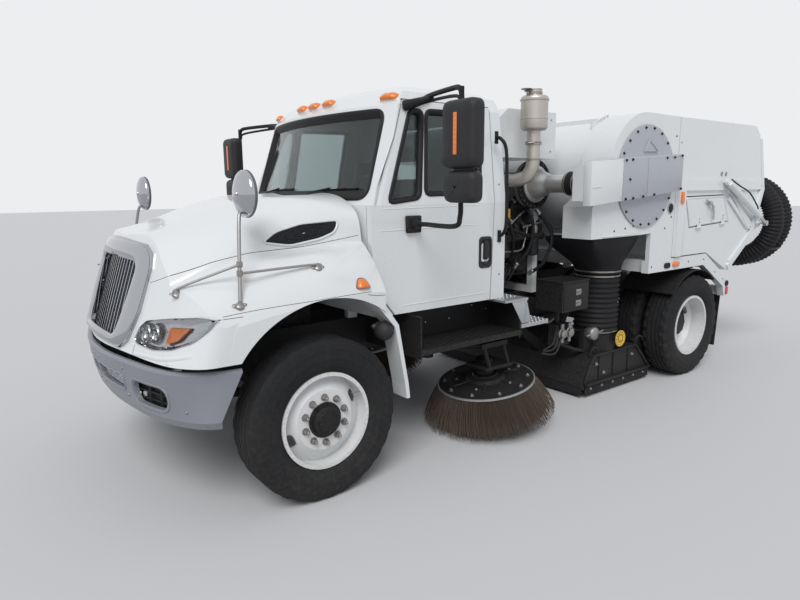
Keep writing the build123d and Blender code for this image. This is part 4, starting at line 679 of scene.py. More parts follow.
# Hubs, nuts and valve stems
hubLook = {
    "nuts": (10, 0.1425, 0.033, 0.026),
    "stem": triples(-30, 205, 120, 5, 217, 128, 32, 235, 140),
    "kinds": {  # face, place of the axle, body, profile of the hub, place and radius of its small nuts
        "Front": (
            (1.117, 0.0, "wheel_front"),
            pairs(1, 112, 7, 112, 10, 94, 36, 91, 40, 86, 43, 70, 50, 66, 53, 50, 53.5, 20),
            (0.05, 0.058),
        ),
        "Rear": (
            (0.922, rearAxle, "wheels_rear"),
            pairs(
                8, 118, 14, 118, 18, 104.5, 122, 103.5, 126, 100,
                130, 118, 140, 118, 143, 110, 148, 50, 149, 20,
            ),
            (0.141, 0.104),
        ),
    },
}


def makeHubs():
    count, nutCircle, nutSize, nutHeight = hubLook["nuts"]
    for side, sign in sides:
        for kind, ((face, behind, wheel), profile, (small, smallCircle)) in hubLook["kinds"].items():
            body = f"{wheel}_{side}"
            axis = (sign, 0, 0)
            origin = spot(sign * face, behind, axleHeight)
            places = sideCircle(origin, count, nutCircle, 0.5)
            nuts = addNuts(newShape(), places, axis, nutSize, nutHeight, 0.014)
            makePiece(f"wheelNuts{kind}_{side}", nuts, "boltSteel", body)
            hub = addLathe(newShape(), origin, axis, profile, 40)
            addNuts(hub, sideCircle(origin + vec(sign * small, 0, 0), 8, smallCircle), axis, 0.014, 0.008)
            makePiece(f"hub{kind}_{side}", hub, "blackPaint", body)
            route = [origin + vec(sign * dx, dy, dz) for dx, dy, dz in hubLook["stem"]]
            stem = addTube(newShape(), route, 0.0045, 8, 4)
            makePiece(f"valveStem{kind}_{side}", stem, "boltSteel", body)


makeHubs()
print("hubs made")

# Headlamps: dark housing, bowls, amber reflector and a clear cover in a bright bezel
lampLook = {
    "outline": pairs(
        548, 1056, 580, 1036, 772, 1031, 942, 1057, 1051, 1106, 1100, 1171,
        1114, 1220, 1049, 1231, 896, 1214, 640, 1170, 574, 1122,
    ),
    "bowls": ((0.655, 1.098, 0.05), (0.745, 1.108, 0.052)),
    "amber": pairs(862, 1068, 948, 1096, 1010, 1172, 872, 1160),
    "depth": 0.045,
    "bulb": pairs(0, 7, 18, 8, 22, 6, 24, 1),
    # how far out and how wide each loop of a part lies
    "cover": ((0.002, 1.0), (0.002, 0.92), (0.002, 0.72), (0.002, 0.5), (0.002, 0.25), (0.002, 0.02)),
    "housing": ((-0.002, 0.985), (-0.045, 0.93), (-0.049, 0.6), (-0.049, 0.3), (-0.049, 0.03)),
    "bezel": ((-0.006, 1.055), (0.004, 1.05), (0.008, 1.03), (0.006, 1.008), (-0.004, 0.995)),
}


def makeLamps():
    look = lampLook
    meet = surfaceOf("headlamps")
    outline = softLoop(look["outline"], 0.022, 0.02)
    middle = centreOf(outline)
    for side, sign in sides:

        def onLamp(place, lift=0.0, grow=1.0):
            place = middle + (place - middle) * grow
            hit = None
            share = 1.0
            while hit is None and share > 0.3:
                near = middle + (place - middle) * share
                hit = frontPoint(meet, sign * near.x, near.y)
                share -= 0.02
            return vec(sign * place.x, hit.y - lift, place.y)

        def makeLoops(name, key, finish, smooth, replaced=()):
            loops = [[onLamp(point, lift, share) for point in outline] for lift, share in look[key]]
            makePiece(f"{name}_{side}", addBand(newShape(), loops), finish, "hood", smooth, replaced)

        makeLoops("lampCover", "cover", "lampGlass", 60)
        makeLoops("lampHousing", "housing", "brightChrome", 40, ["headlamps"] if side == "left" else ())
        bowls = newShape()
        bulbs = newShape()
        for x, height, radius in look["bowls"]:
            shares = ((0.004, 0.5), (0.016, 0.86), (0.03, 1), (0.034, 1.06), (0.03, 1.1), (0.0, 1.12))
            profile = [(0.0, 0.012)] + scaled(shares, radius)
            addLathe(bowls, onLamp(vec(x, height), 0.004 - look["depth"]), (0, -1, 0), profile, 28)
            addLathe(bulbs, onLamp(vec(x, height), 0.008 - look["depth"]), (0, -1, 0), look["bulb"], 12)
        makePiece(f"lampBowls_{side}", bowls, "brightChrome", "hood", 40)
        makePiece(f"lampBulbs_{side}", bulbs, "trimPlastic", "hood", 40)
        panel = [onLamp(point, -0.016) for point in softLoop(look["amber"], 0.012, 0.02)]
        amber = addSlab(newShape(), panel, (0, 0.016, 0), 0.002)
        makePiece(f"lampAmber_{side}", amber, "amberLens", "hood")
        makeLoops("lampBezel", "bezel", "brightChrome", 50)


makeLamps()
print("headlamps made")

# Bumper: bolts, the grilles in its openings and the rims round them
bumperLook = {
    "bolts": pairs(452, 868, 452, 700, 60, 868, 60, 700, 980, 700),
    "fog": (0.715, 0.756),
    "slats": (7, 0.745, 0.01, (0.02, 0.13, 0.23, 0.33, 0.43)),
    "rims": (((0.225, 0.775), (0.2, 0.039), 0.02), ((0.715, 0.756), (0.16, 0.064), 0.055)),
}


def makeBumperDetails():
    look = bumperLook
    meet = surfaceOf("front_bumper")
    bolts = newShape()
    for x, height in look["bolts"]:
        for sign in (1, -1):
            hit = frontPoint(meet, sign * x, height)
            if hit and hit.y < frontAxleY - 0.6:
                addDomes(bolts, [hit], (0, -1, 0), 0.01, 0.006)
    makePiece("bumperBolts", bolts, "boltSteel")
    inserts = newShape()
    x, height = look["fog"]
    for sign in (1, -1):
        rim = frontPoint(meet, sign * (x - 0.2), height).y
        outerRim = frontPoint(meet, sign * (x + 0.185), height).y

        def addBehind(left, low, right, high, back, thick):
            corners = [(sign * px, rim + (outerRim - rim) * (px - (x - 0.2)) / 0.385 + back, pz)
                       for px, pz in rectangle(left, low, right, high)]
            addSlab(inserts, corners, (0, thick, 0), 0.002)

        addBehind(x - 0.185, height + 0.085, x + 0.175, height - 0.085, 0.045, 0.012)
        for pz in (height - 0.045, height, height + 0.045):
            addBehind(x - 0.18, pz - 0.006, x + 0.17, pz + 0.006, 0.03, 0.016)
        for px in (x - 0.06, x + 0.05):
            addBehind(px - 0.008, height - 0.08, px + 0.008, height + 0.08, 0.026, 0.02)
    count, low, gap, xs = look["slats"]
    front = frontPoint(meet, 0.0, 0.9).y + 0.055
    for step in range(count):
        for sign in (1, -1):
            slat = [vec(sign * px, front + 0.13 * px**2, low + step * gap) for px in xs]
            addTube(inserts, slat, 0.0022, 6)
    makePiece("bumperInserts", inserts, "darkMesh", smooth=40)
    rims = newShape()
    for sign in (1, -1):
        for (cx, cz), (wide, high), corner in look["rims"]:
            loop = softLoop(rectangle(cx - wide, cz - high, cx + wide, cz + high), corner, 0.02, 6)
            path = [frontPoint(meet, sign * point.x, point.y) for point in growLoop(loop, 0.012)]
            addTube(rims, path, 0.0065, 8, closed=True)
    makePiece("bumperRims", rims, "bumperPaint", smooth=50)


makeBumperDetails()
print("bumper dressed")

# Hood: pressed ribs, seams, side vents and fender markers
hoodLook = {
    "rib": pairs(560, 975, 700, 985, 850, 993, 970, 1012, 1065, 1035),
    "ribRadius": 0.009,
    # seams drawn from the front, as x and height, and from the side, as place and height
    "frontSeams": (
        (pairs(560, 1374, 660, 1402, 745, 1429), 0.0016, 10, 0.1),
        (pairs(555, 945, 556, 985, 557, 1025), 0.0016, 6, 0.0),
        (pairs(1100, 1215, 1130, 1223), 0.0018, 6, 0.0),
    ),
    "sideSeams": (
        (
            pairs(
                -750, 1430, -650, 1458, -520, 1496, -400, 1519, -310, 1534,
                -150, 1543, 10, 1551, 200, 1573, 420, 1604,
            ),
            0.0018, 0.0012, 10,
        ),
        (pairs(300, 1262, 360, 1250, 440, 1244), 0.0018, 0.0012, 8),
        (pairs(-600, 1232, -450, 1247, -300, 1257, -50, 1268, 200, 1276, 330, 1277), 0.0016, 0.001, 10),
    ),
    "vent": pairs(-225, 1588, -133, 1648, 35, 1690, 298, 1705, 261, 1631, 152, 1593, -52, 1561),
    "marker": pairs(219, 1304, 333, 1302, 301, 1360, 251, 1364),
    "markerLens": ((1.0, 0.0), (0.97, 0.012), (0.85, 0.022), (0.6, 0.029), (0.3, 0.032), (0.03, 0.033)),
    "markerBase": ((1.1, -0.002), (1.09, 0.005), (1.0, 0.006)),
}


def makeHoodDetails():
    look = hoodLook
    meet = surfaceOf("hood")
    ribs, lines, vents, meshes, markers, bases = (newShape() for _ in range(6))
    for sign in (1, -1):
        front = lambda m, x, z, lift: frontPoint(m, sign * x, z, lift)
        flank = lambda m, d, z, lift: sidePoint(m, sign, d, z, lift)
        onSide = lambda point, lift=0.0: sidePoint(meet, sign, point.x, point.y, lift)
        half = look["ribRadius"]
        addGrid(ribs, surfaceStrip(meet, look["rib"], half * 1.6, 0.005, front, 10, 0.12))
        lower = [(x, z - 0.03) for x, z in look["rib"][:4]]
        addGrid(ribs, surfaceStrip(meet, lower, half, 0.004, front, 10, 0.12))
        for points, half, steps, ends in look["frontSeams"]:
            addGrid(lines, surfaceStrip(meet, points, half, 0.0012, front, steps, ends))
        for points, half, lift, steps in look["sideSeams"]:
            addGrid(lines, surfaceStrip(meet, points, half, lift, flank, steps, 0.1))
        loop = softLoop(look["vent"], 0.035, 0.02)
        addTube(vents, [onSide(point, 0.003) for point in loop], 0.0075, 8, closed=True)
        sheets = [shrunk(loop, share) for share in (1.0, 0.7, 0.35, 0.05)]
        addBand(meshes, [[onSide(point, 0.002) for point in sheet] for sheet in sheets])
        low, high = min(p.x for p in loop), max(p.x for p in loop)
        for step in range(1, 30):
            d = low + (high - low) * step / 30
            edges = [(a, b) for a, b in zip(loop, loop[1:] + loop[:1]) if (a.x - d) * (b.x - d) < 0]
            crossings = sorted(a.y + (b.y - a.y) * (d - a.x) / (b.x - a.x) for a, b in edges)
            if len(crossings) == 2:
                a, b = crossings
                wire = [onSide(vec(d, a + (b - a) * t), 0.004) for t in (0.04, 0.5, 0.96)]
                addTube(meshes, wire, 0.0018, 6)
        for share in (0.75, 0.5, 0.25):
            path = [onSide(point, 0.0045) for point in shrunk(loop, share)]
            addTube(meshes, path, 0.0018, 6, closed=True)
        loop = softLoop(look["marker"], 0.026, 0.012)
        addBlister(markers, onSide, loop, (sign, 0, 0), look["markerLens"])
        addBlister(bases, onSide, loop, (sign, 0, 0), look["markerBase"])
    makePiece("hoodRibs", ribs, "whitePaint", "hood", 60)
    makePiece("hoodSeams", lines, "sealRubber", "hood", 60)
    makePiece("ventRims", vents, "whitePaint", "hood", 60)
    makePiece("ventMeshes", meshes, "darkMesh", "hood", 60)
    makePiece("fenderMarkers", markers, "amberLens", "hood", 50)
    makePiece("markerBases", bases, "trimPlastic", "hood", 50)


makeHoodDetails()
print("hood dressed")

# Round mirrors on the hood: a dished head on a post with two stays and winged feet
hoodMirrorLook = {
    "head": (0.985, -0.392, 1.878),
    "radius": 0.13,
    "arms": (
        (
            triples(1104, -499, 1280, 1096, -492, 1315, 1010, -440, 1720, 985, -414, 1790, 985, -408, 1900),
            0.0105, 14, 6,
        ),
        (triples(872, -758, 1340, 880, -752, 1375, 1060, -470, 1500), 0.0075, 12, 5),
        (triples(1067, 13, 1441, 1064, 0, 1462, 1070, -472, 1452), 0.0075, 12, 5),
    ),
    "foot": pairs(-10, 26, 4, 26, 10, 18, 26, 13),
    "clamps": (1.452, 1.5),
    "clamp": pairs(0, 12, 2, 17, 32, 17, 34, 12),
    # along the axis in metres, and out as a share of the radius
    "bowl": (
        (-0.02, 0.96), (-0.012, 1), (0.004, 1), (0.014, 0.94), (0.03, 0.7), (0.04, 0.4),
        (0.044, 0.12), (0.05, 0.1),
    ),
    "rim": ((-0.022, 0.93), (-0.026, 0.97), (-0.02, 1.012), (-0.01, 1.012), (-0.008, 0.99)),
    "face": ((0.021, 0.94), (0.03, 0.6), (0.034, 0.2)),
}


def makeHoodMirrors():
    look = hoodMirrorLook
    meet = surfaceOf("hood")
    x, d, z = look["head"]
    for side, sign in sides:
        arms = newShape()
        feet = []
        for route, radius, around, steps in look["arms"]:
            route = mirrored(sign, route)
            addTube(arms, route, radius, around, steps)
            feet.append(meet(route[0] + vec(sign * 0.3, 0, 0.2), (-sign * 0.83, 0, -0.55)) or route[0])
        for foot in feet:
            addLathe(arms, foot, (sign * 0.5, 0, 1), look["foot"], 18)
            ends = [foot + vec(0, dy, 0.004) for dy in (-0.03, 0.03)]
            addDomes(arms, ends, (sign * 0.5, 0, 1), 0.013, 0.007, 10)
        for height in look["clamps"]:
            share = (height - 1.315) / 0.405
            middle = spot(sign * (1.096 - 0.086 * share), -0.492 + 0.052 * share, height)
            addLathe(arms, middle - vec(0, 0, 0.017), (0, 0, 1), look["clamp"], 16)
            addNuts(arms, [middle + vec(sign * 0.015, -0.012, 0)], (sign, -0.5, 0), 0.014, 0.01)
        replaced = ["hood_mirrors"] if side == "left" else ()
        makePiece(f"mirrorPost_{side}", arms, "boltSteel", "hood", 50, replaced)
        for name, way, end, around, finish in (
            ("bowl", -1, [(0.052, 0.004)], 56, "brightChrome"),
            ("rim", -1, [], 56, "trimPlastic"),
            ("face", 1, [(0.0345, 0.004)], 48, "brightChrome"),
        ):
            profile = scaled(look[name], look["radius"]) + end
            shape = addLathe(newShape(), spot(sign * x, d, z), (0, way, 0), profile, around)
            makePiece(f"mirror{name.title()}_{side}", shape, finish, "hood", 50)


makeHoodMirrors()
print("hood mirrors made")

# Round work lamp on the fender's tail, its domed back to the front
floodLook = {
    "place": (1.105, 0.455, 1.003),
    "lamp": pairs(0, 6, 3, 27, 14, 48, 32, 58.2, 62, 60, 68, 63, 78, 63, 80, 57, 74, 54, 70, 4),
    "bracket": triples(0, 0, 0, -75, -10, 20, -85, 55, 30),
}


def makeFloodLamps():
    x, d, z = floodLook["place"]
    for side, sign in sides:
        origin = spot(sign * x, d, z)
        away = vec(-sign * 0.45, 0.85, -0.25).normalized()
        lamp = addLathe(newShape(), origin - away * 0.045, away, floodLook["lamp"], 36)
        makePiece(f"floodLamp_{side}", lamp, "mirrorPlastic", "hood", 40)
        route = [origin + vec(sign * dx, dy, dz) for dx, dy, dz in floodLook["bracket"]]
        bracket = addTube(newShape(), route, 0.01, 10, 5)
        addNuts(bracket, [origin + vec(-sign * 0.07, -0.022, 0.018)], (sign * 0.4, -1, 0), 0.022, 0.012)
        makePiece(f"floodBracket_{side}", bracket, "boltSteel", "hood", 40)


makeFloodLamps()
print("flood lamps made")

# Grille: a rounded bright surround between its outer edge and the opening, each given as a right half
grilleLook = {
    "foot": (0.0, -1.01, 0.996),
    "lean": math.atan2(0.3, 0.94),
    "halves": (
        (pairs(396, 4, 474, 63, 531, 240, 541, 498, 511, 587, 417, 630), 0.055),
        (pairs(290, 56, 330, 90, 372, 300, 400, 470, 375, 508, 330, 520), 0.03),
    ),
    "centre": (0.0, 0.3),
    "swell": 0.02,
    "around": 128,
    "rows": 12,
}


def crossLoop(loop, middle, turn):  # where a loop is met going out from its middle
    ahead = vec(math.cos(turn), math.sin(turn))
    best = None
    for one, two in zip(loop, loop[1:] + loop[:1]):
        edge = two - one
        gap = one - middle
        cross = ahead.x * edge.y - ahead.y * edge.x
        if abs(cross) < 1e-12:
            continue
        far = (gap.x * edge.y - gap.y * edge.x) / cross
        share = (gap.x * ahead.y - gap.y * ahead.x) / cross
        if far > 0 and -1e-9 <= share <= 1 + 1e-9 and (best is None or far > best):
            best = far
    return middle + ahead * best


def makeGrilleSurround():
    look = grilleLook
    meet = surfaceOf("grille")
    out = vec(0, -math.cos(look["lean"]), math.sin(look["lean"]))
    up = vec(0, math.sin(look["lean"]), math.cos(look["lean"]))
    foot = spot(*look["foot"])
    middle = Vector(look["centre"])
    loops = [roundLoop(half + [(-x, z) for x, z in half[::-1]], radius, 6) for half, radius in look["halves"]]
    onFace = lambda point: foot + vec(point.x, 0, 0) + up * point.y + out * 0.4
    rows = []
    for step in range(look["rows"] + 1):
        share = step / look["rows"]
        lift = look["swell"] * math.sin(math.pi * share) ** 0.6 + 0.0006
        spread = 0.012 + 0.985 * share
        row = []
        for place in range(look["around"]):
            turn = 2 * math.pi * (place + 0.5) / look["around"]
            one, two = (crossLoop(loop, middle, turn) for loop in loops)
            probe = onFace(one + (two - one) * min(0.93, max(0.03, spread)))
            hit = meet(probe, -out)
            depth = (probe - hit).dot(out) if hit else 0.4
            row.append(onFace(one + (two - one) * min(1, spread)) - out * (depth - lift))
        rows.append(row)
    makePiece("grilleSurround", addBand(newShape(), rows), "brightChrome", "hood", 60)


makeGrilleSurround()
print("grille surround made")

# Cab: window seals, wipers, roof lamps, handles, door lines and screws
cabLook = {
    "windshield": pairs(-836, 1838, 836, 1838, 806, 2418, -806, 2418),
    "ventWindow": pairs(600, 12, 868, 40, 950, 628, 838, 628),
    "mainWindow": pairs(916, 62, 1436, 70, 1502, 640, 980, 632),
    # how far out in its plane and off it each loop of a seal lies
    "wideSeal": pairs(14, -3, 13, 6, 4, 10, -12, 7, -30, -4, -50, -12),
    "doorSeal": pairs(13, -2, 12, 6, 4, 10, -10, 8, -22, -2, -26, -22),
    "wipers": (
        pairs(100, 1810, 460, 1900, 120, 1868, 720, 1902),
        pairs(-620, 1810, -280, 1900, -620, 1868, -30, 1902),
    ),
    "roofLamps": ((-0.8, 2.496), (-0.2, 2.508), (0.0, 2.508), (0.2, 2.508), (0.8, 2.496)),
    "roofLamp": pairs(-66, -20, 66, -20, 58, 20, -58, 20),
    "roofLens": ((1.0, 0.004), (0.96, 0.02), (0.82, 0.034), (0.55, 0.042), (0.2, 0.045), (0.02, 0.045)),
    "roofBase": ((1.14, -0.004), (1.13, 0.006), (1.0, 0.009)),
    "handle": pairs(1425, 1310, 1555, 1310, 1555, 1545, 1425, 1545),
    "handleCup": (
        (1, -0.003), (1, 0.006), (0.95, 0.01), (0.82, 0.009), (0.78, 0.001), (0.4, -0.001), (0.02, -0.001),
    ),
    "grip": pairs(-22, -55, 22, -55, 20, 88, -20, 88),
    "gripLevels": ((1.0, 0.0), (1.0, 0.012), (0.9, 0.019), (0.6, 0.022), (0.05, 0.023)),
    "lines": (
        (pairs(500, 1628, 900, 1632, 1400, 1636), 0.0045, 0.0028),
        (pairs(520, 1768, 800, 1772, 1200, 1776, 1440, 1779), 0.004, 0.0025),
        (pairs(700, 1115, 1100, 1118, 1530, 1120), 0.005, 0.003),
    ),
    "grab": triples(
        985, 1582, 2262, 1030, 1588, 2250, 1062, 1612, 2170, 1066, 1622, 1900,
        1060, 1630, 1640, 1028, 1633, 1560, 985, 1633, 1540,
    ),
    "screws": pairs(1640, 1925, 1645, 1250),
}


def leaning(sign, d, up, lift=0.0):  # a point on the leaning plane of the door's upper half
    slope = 0.085 / 0.6625
    rise = 0.657 / 0.6625
    return spot(sign * (0.985 - slope * up + rise * lift), d, 1.795 + rise * up + slope * lift)


def makeCabGlassFrames():
    look = cabLook
    meet = surfaceOf("cab_shell", "cab_glass")
    loop = softLoop(look["windshield"], 0.085, 0.04, 7)
    bases = growLoop(loop, 0.016)
    hits = [frontPoint(meet, base.x, base.y) for base in bases]
    rings = []
    for grow, lift in look["wideSeal"]:
        places = zip(growLoop(loop, grow), bases, hits)
        rings.append([vec(p.x, hit.y - lift + (base.y - p.y) * -0.15, p.y) for p, base, hit in places])
    makePiece("windshieldSeal", addBand(newShape(), rings), "sealRubber", smooth=60)
    for side, sign in sides:
        seals = newShape()
        for name in ("ventWindow", "mainWindow"):
            loop = softLoop(look[name], 0.05, 0.05, 7)
            grown = [(growLoop(loop, grow), lift) for grow, lift in look["doorSeal"]]
            addBand(seals, [[leaning(sign, p.x, p.y, lift) for p in ring] for ring, lift in grown])
        makePiece(f"windowSeals_{side}", seals, "sealRubber", f"cab_door_{side}", 60)


def makeWipers():
    meet = surfaceOf("cab_glass", "cab_shell")
    arms = newShape()
    for base, tip, bladeStart, bladeEnd in cabLook["wipers"]:
        start = frontPoint(meet, *base, 0.01)
        end = frontPoint(meet, *tip, 0.026)
        addTube(arms, [start, start.lerp(end, 0.5) + vec(0, -0.035, 0.012), end], 0.007, 8, 6)
        addLathe(arms, start, (0, -0.8, 0.6), pairs(0, 18, 22, 17, 26, 12), 14)
        along = [vec(*bladeStart).lerp(vec(*bladeEnd), step / 6) for step in range(7)]
        blade = [frontPoint(meet, point.x, point.y, 0.014) for point in along]
        addTube(arms, blade, 0.006, 8)
        addTube(arms, [point + vec(0, -0.008, 0.006) for point in blade[1:6]], 0.004, 6)
    makePiece("wipers", arms, "blackPaint", smooth=50)


def makeCabTrim():
    look = cabLook
    shell = surfaceOf("cab_shell")
    lenses = newShape()
    bases = newShape()
    onRoof = lambda p: frontPoint(shell, p.x, p.y)
    for x, z in look["roofLamps"]:
        loop = roundLoop([vec(x, z) + Vector(corner) for corner in look["roofLamp"]], 0.03, 6)
        addBlister(lenses, onRoof, loop, (0, -0.85, 0.53), look["roofLens"])
        addBlister(bases, onRoof, loop, (0, -0.85, 0.53), look["roofBase"])
    makePiece("roofLamps", lenses, "amberLens", smooth=60)
    makePiece("roofLampBases", bases, "whitePaint", smooth=60)
    for side, sign in sides:
        body = f"cab_door_{side}"
        door = surfaceOf(body)
        onDoor = lambda p: sidePoint(door, sign, p.x, p.y)
        flank = lambda m, d, z, lift: sidePoint(m, sign, d, z, lift)
        loop = softLoop(look["handle"], 0.035, 0.03, 6)
        middle = centreOf(loop)
        handle = addBlister(newShape(), onDoor, loop, (sign, 0, 0), look["handleCup"])
        grip = roundLoop([middle + Vector(corner) for corner in look["grip"]], 0.018, 5)
        addBlister(handle, onDoor, grip, (sign, 0, 0), look["gripLevels"])
        lock = sidePoint(door, sign, middle.x, middle.y - 0.083)
        addLathe(handle, lock, (sign, 0, 0), pairs(0, 14, 7, 14, 9, 11), 16)
        makePiece(f"doorHandle_{side}", handle, "mirrorPlastic", body, 40)
        lines = newShape()
        for points, half, lift in look["lines"]:
            addGrid(lines, surfaceStrip(door, points, half, lift, flank, 12, 0.1))
        makePiece(f"doorLines_{side}", lines, "whitePaint", body, 60)
        points = mirrored(sign, look["grab"])
        grab = addTube(newShape(), points, 0.013, 14, 6)
        for point, way in ((points[0], -1), (points[-1], 1)):
            foot = [point + vec(0, dy, dz) for dy, dz in rectangle(-0.016, -0.045, 0.016, 0.045)]
            addSlab(grab, foot, (sign * 0.012, 0, 0), 0.003)
            screws = [point + vec(sign * 0.012, 0, way * dz) for dz in (0.032, -0.032)]
            addDomes(grab, screws, (sign, 0, 0), 0.008, 0.005)
        makePiece(f"grabHandle_{side}", grab, "blackPaint", smooth=50)
        screws = addStuds(newShape(), shell, sign, look["screws"])
        makePiece(f"cabScrews_{side}", screws, "boltSteel")


makeCabGlassFrames()
makeWipers()
makeCabTrim()
print("cab dressed")

# Door mirrors: bent tube arms, moulded heads, glass at the back and an amber strip in front
mirrorLook = {
    "lowerTube": triples(
        1000, 795, 1664, 1130, 780, 1670, 1500, 705, 1676, 1556, 700, 1735,
        1560, 700, 1860, 1560, 700, 2200, 1560, 700, 2470,
    ),
    "upperTube": triples(
        1560, 700, 2370, 1558, 701, 2430, 1530, 708, 2466, 1450, 735, 2476,
        1200, 800, 2478, 1060, 850, 2476, 915, 910, 2462,
    ),
    "thinTube": triples(1545, 705, 2385, 1500, 715, 2425, 1200, 815, 2447, 960, 890, 2452),
    "foot": pairs(735, 1606, 855, 1606, 858, 1722, 730, 1722),
    "footBolts": pairs(752, 1625, 838, 1625, 752, 1702, 838, 1702),
    "socket": pairs(0, 36, 20, 34, 40, 24, 60, 21),
    "roofArm": triples(930, 800, 2440, 900, 990, 2492, 875, 1060, 2512),
    "cowl": triples(905, 800, 2440, 1020, 840, 2458, 1160, 815, 2466),
    # left, low, right, high, front and back of each head
    "heads": ((1.492, 2.01, 1.763, 2.388, 0.59, 0.688), (1.5, 1.817, 1.755, 1.998, 0.596, 0.69)),
    "headFront": pairs(-100, 0, -55, 1, -22, 7, -7, 20, 0, 40),
    "headBack": pairs(0, -12, -3, -3, -10, 0, -16, -1, -18, -10),
    "corner": 0.052,
    "strip": (1.612, 2.085, 1.64, 2.315),
}


def mirrorHead(shape, sign, box):
    look = mirrorLook
    front, back = box[4:]
    loop = roundLoop(rectangle(*box[:4]), look["corner"], 7)
    middle = vec((box[0] + box[2]) / 2, (box[1] + box[3]) / 2)
    levels = [(inset, front + d) for inset, d in look["headFront"]]
    levels += [(inset, back + d) for inset, d in look["headBack"]]
    rings = []
    for inset, d in levels:
        aways = [point - middle for point in loop]
        grown = [middle + away * (1 + inset / max(abs(away.x), abs(away.y))) for away in aways]
        rings.append(crossways(d, grown, sign))
    addBand(shape, rings)
    shape.faces.new([shape.verts.new(point) for point in rings[0]])
    return rings[-1]


def makeDoorMirrors():
    look = mirrorLook
    for side, sign in sides:
        body = f"cab_door_{side}"
        arms = newShape()
        for name, radius in (("lowerTube", 0.0155), ("upperTube", 0.0155), ("thinTube", 0.01)):
            addTube(arms, mirrored(sign, look[name]), radius, 14, 6)
        addPlate(arms, sign, 0.984, look["foot"], 0.03, 0.01)
        addDomes(arms, upright(sign * 1.013, look["footBolts"]), (sign, 0, 0), 0.01, 0.006)
        addLathe(arms, spot(sign * 1.01, 0.795, 1.664), (sign, 0, 0), look["socket"], 20)
        addTube(arms, mirrored(sign, look["roofArm"]), lambda t: 0.022 - 0.012 * abs(t - 0.5), 12, 6)
        addTube(arms, mirrored(sign, look["cowl"]), lambda t: 0.036 - 0.02 * t, 16, 6)
        makePiece(f"mirrorArms_{side}", arms, "blackPaint", body, 50, [f"door_mirror_{side}"])
        heads = newShape()
        glass = newShape()
        for box in look["heads"]:
            rim = mirrorHead(heads, sign, box)
            addBand(glass, [shrunk(rim, share) for share in (0.995, 0.6, 0.02)])
        addSlab(heads, crossways(0.64, rectangle(1.555, 1.985, 1.7, 2.022), sign), (0, 0.03, 0), 0.008)
        makePiece(f"mirrorHeads_{side}", heads, "mirrorPlastic", body, 50)
        makePiece(f"mirrorGlass_{side}", glass, "brightChrome", body, 60)
        left, low, right, high = look["strip"]
        lens = crossways(0.594, rectangle(*look["strip"]), sign)
        strip = addSlab(newShape(), lens, (0, -0.008, 0), 0.003)
        for step in range(9):
            z = low + (high - low) * (step + 0.5) / 9
            corners = rectangle(left + 0.004, z - 0.009, right - 0.004, z + 0.009)
            addSlab(strip, crossways(0.587, corners, sign), (0, -0.0015, 0), 0.0007)
        makePiece(f"mirrorStrip_{side}", strip, "amberLens", body, 40)


makeDoorMirrors()
print("door mirrors made")

# Steps: raised buttons on the tread, pierced studs on the bright plates, bolts and risers
stepLook = {
    "buttonGap": 0.046,
    "tread": (0.785, 1.09, 0.8, 0.81),
    # where the studs start, how many across and along, and the level of their plate
    "studs": ((0.78, 1.61, 6, 6, 1.057), (0.8, 1.8, 8, 8, 0.852)),
    "studGap": 0.042,
    "stud": pairs(0, 10, 4, 8, 4.5, 5, 1, 4.5),
    "bolts": (0.86, 1.1, 1.34, 1.58, 1.74),
    "sideRiser": pairs(1680, 1038, 1850, 1038, 1905, 856, 1800, 856),
    "backRiser": triples(765, 1850, 1038, 1094, 1850, 1038, 1094, 1822, 856, 765, 1822, 856),
}


def makeStepDetails():
    look = stepLook
    gap = look["buttonGap"]
    left, right, front, level = look["tread"]
    meet = surfaceOf("step_treads", "step_frames")
    for side, sign in sides:
        buttons = []
        for row in range(7):
            for column in range(21):
                x = left + gap * (row + (0.5 if column % 2 else 0))
                if x <= right:
                    buttons.append(spot(sign * x, front + gap * column, level))
        tread = addDomes(newShape(), buttons, (0, 0, 1), 0.0085, 0.004, 8)
        makePiece(f"treadButtons_{side}", tread, "blackPaint", smooth=50)
        bright = newShape()
        for x, d, across, deep, level2 in look["studs"]:
            for row in range(across):
                for column in range(deep):
                    hit = topPoint(meet, sign * (x + look["studGap"] * row), d + look["studGap"] * column)
                    if hit and abs(hit.z - level2) < 0.004:
                        addLathe(bright, hit, (0, 0, 1), look["stud"], 8)
        makePiece(f"stepButtons_{side}", bright, "treadMetal", smooth=50)
        places = [spot(sign * 0.756, d, 0.93 + 0.05 * math.sin(d * 9)) for d in look["bolts"]]
        bolts = addDomes(newShape(), places, (sign, 0, 0), 0.008, 0.005)
        makePiece(f"stepBolts_{side}", bolts, "boltSteel")
        riser = addPlate(newShape(), sign, 1.094, look["sideRiser"], -0.005, 0.001)
        addSlab(riser, mirrored(sign, look["backRiser"]), (0, 0.005, 0), 0.001)
        makePiece(f"stepRiser_{side}", riser, "treadMetal")


makeStepDetails()
print("steps dressed")

# Gutter brooms: bolted disc, bright rim and long bristles that splay outwards
broomLook = {
    "centre": (0.846, 1.664, 0.371),
    "lean": math.radians(8.8),
    # along the axis and out from it
    "plate": pairs(
        -10, 300, -12, 388, -4, 392, 2, 389, 4, 372, 5, 300, 12, 285, 14, 160, 40, 150, 48, 105, 60, 95,
    ),
    "rim": pairs(-13, 390, -12, 393, 1, 393, 3, 389, 3, 382, -2, 381),
    "motor": pairs(46, 66, 80, 66, 83, 74, 100, 74, 104, 62, 150, 60, 154, 68, 176, 68, 180, 50, 189, 45),
    "core": pairs(-10, 300, -10, 355, -140, 405, -256, 462, -252, 400, -140, 340),
    "rows": 4,
    "perRow": 300,
    "root": (0.33, 0.384),
    "tip": (0.425, 0.536),
    "rootLevel": -0.01,
    "tipLevel": -0.276,
}


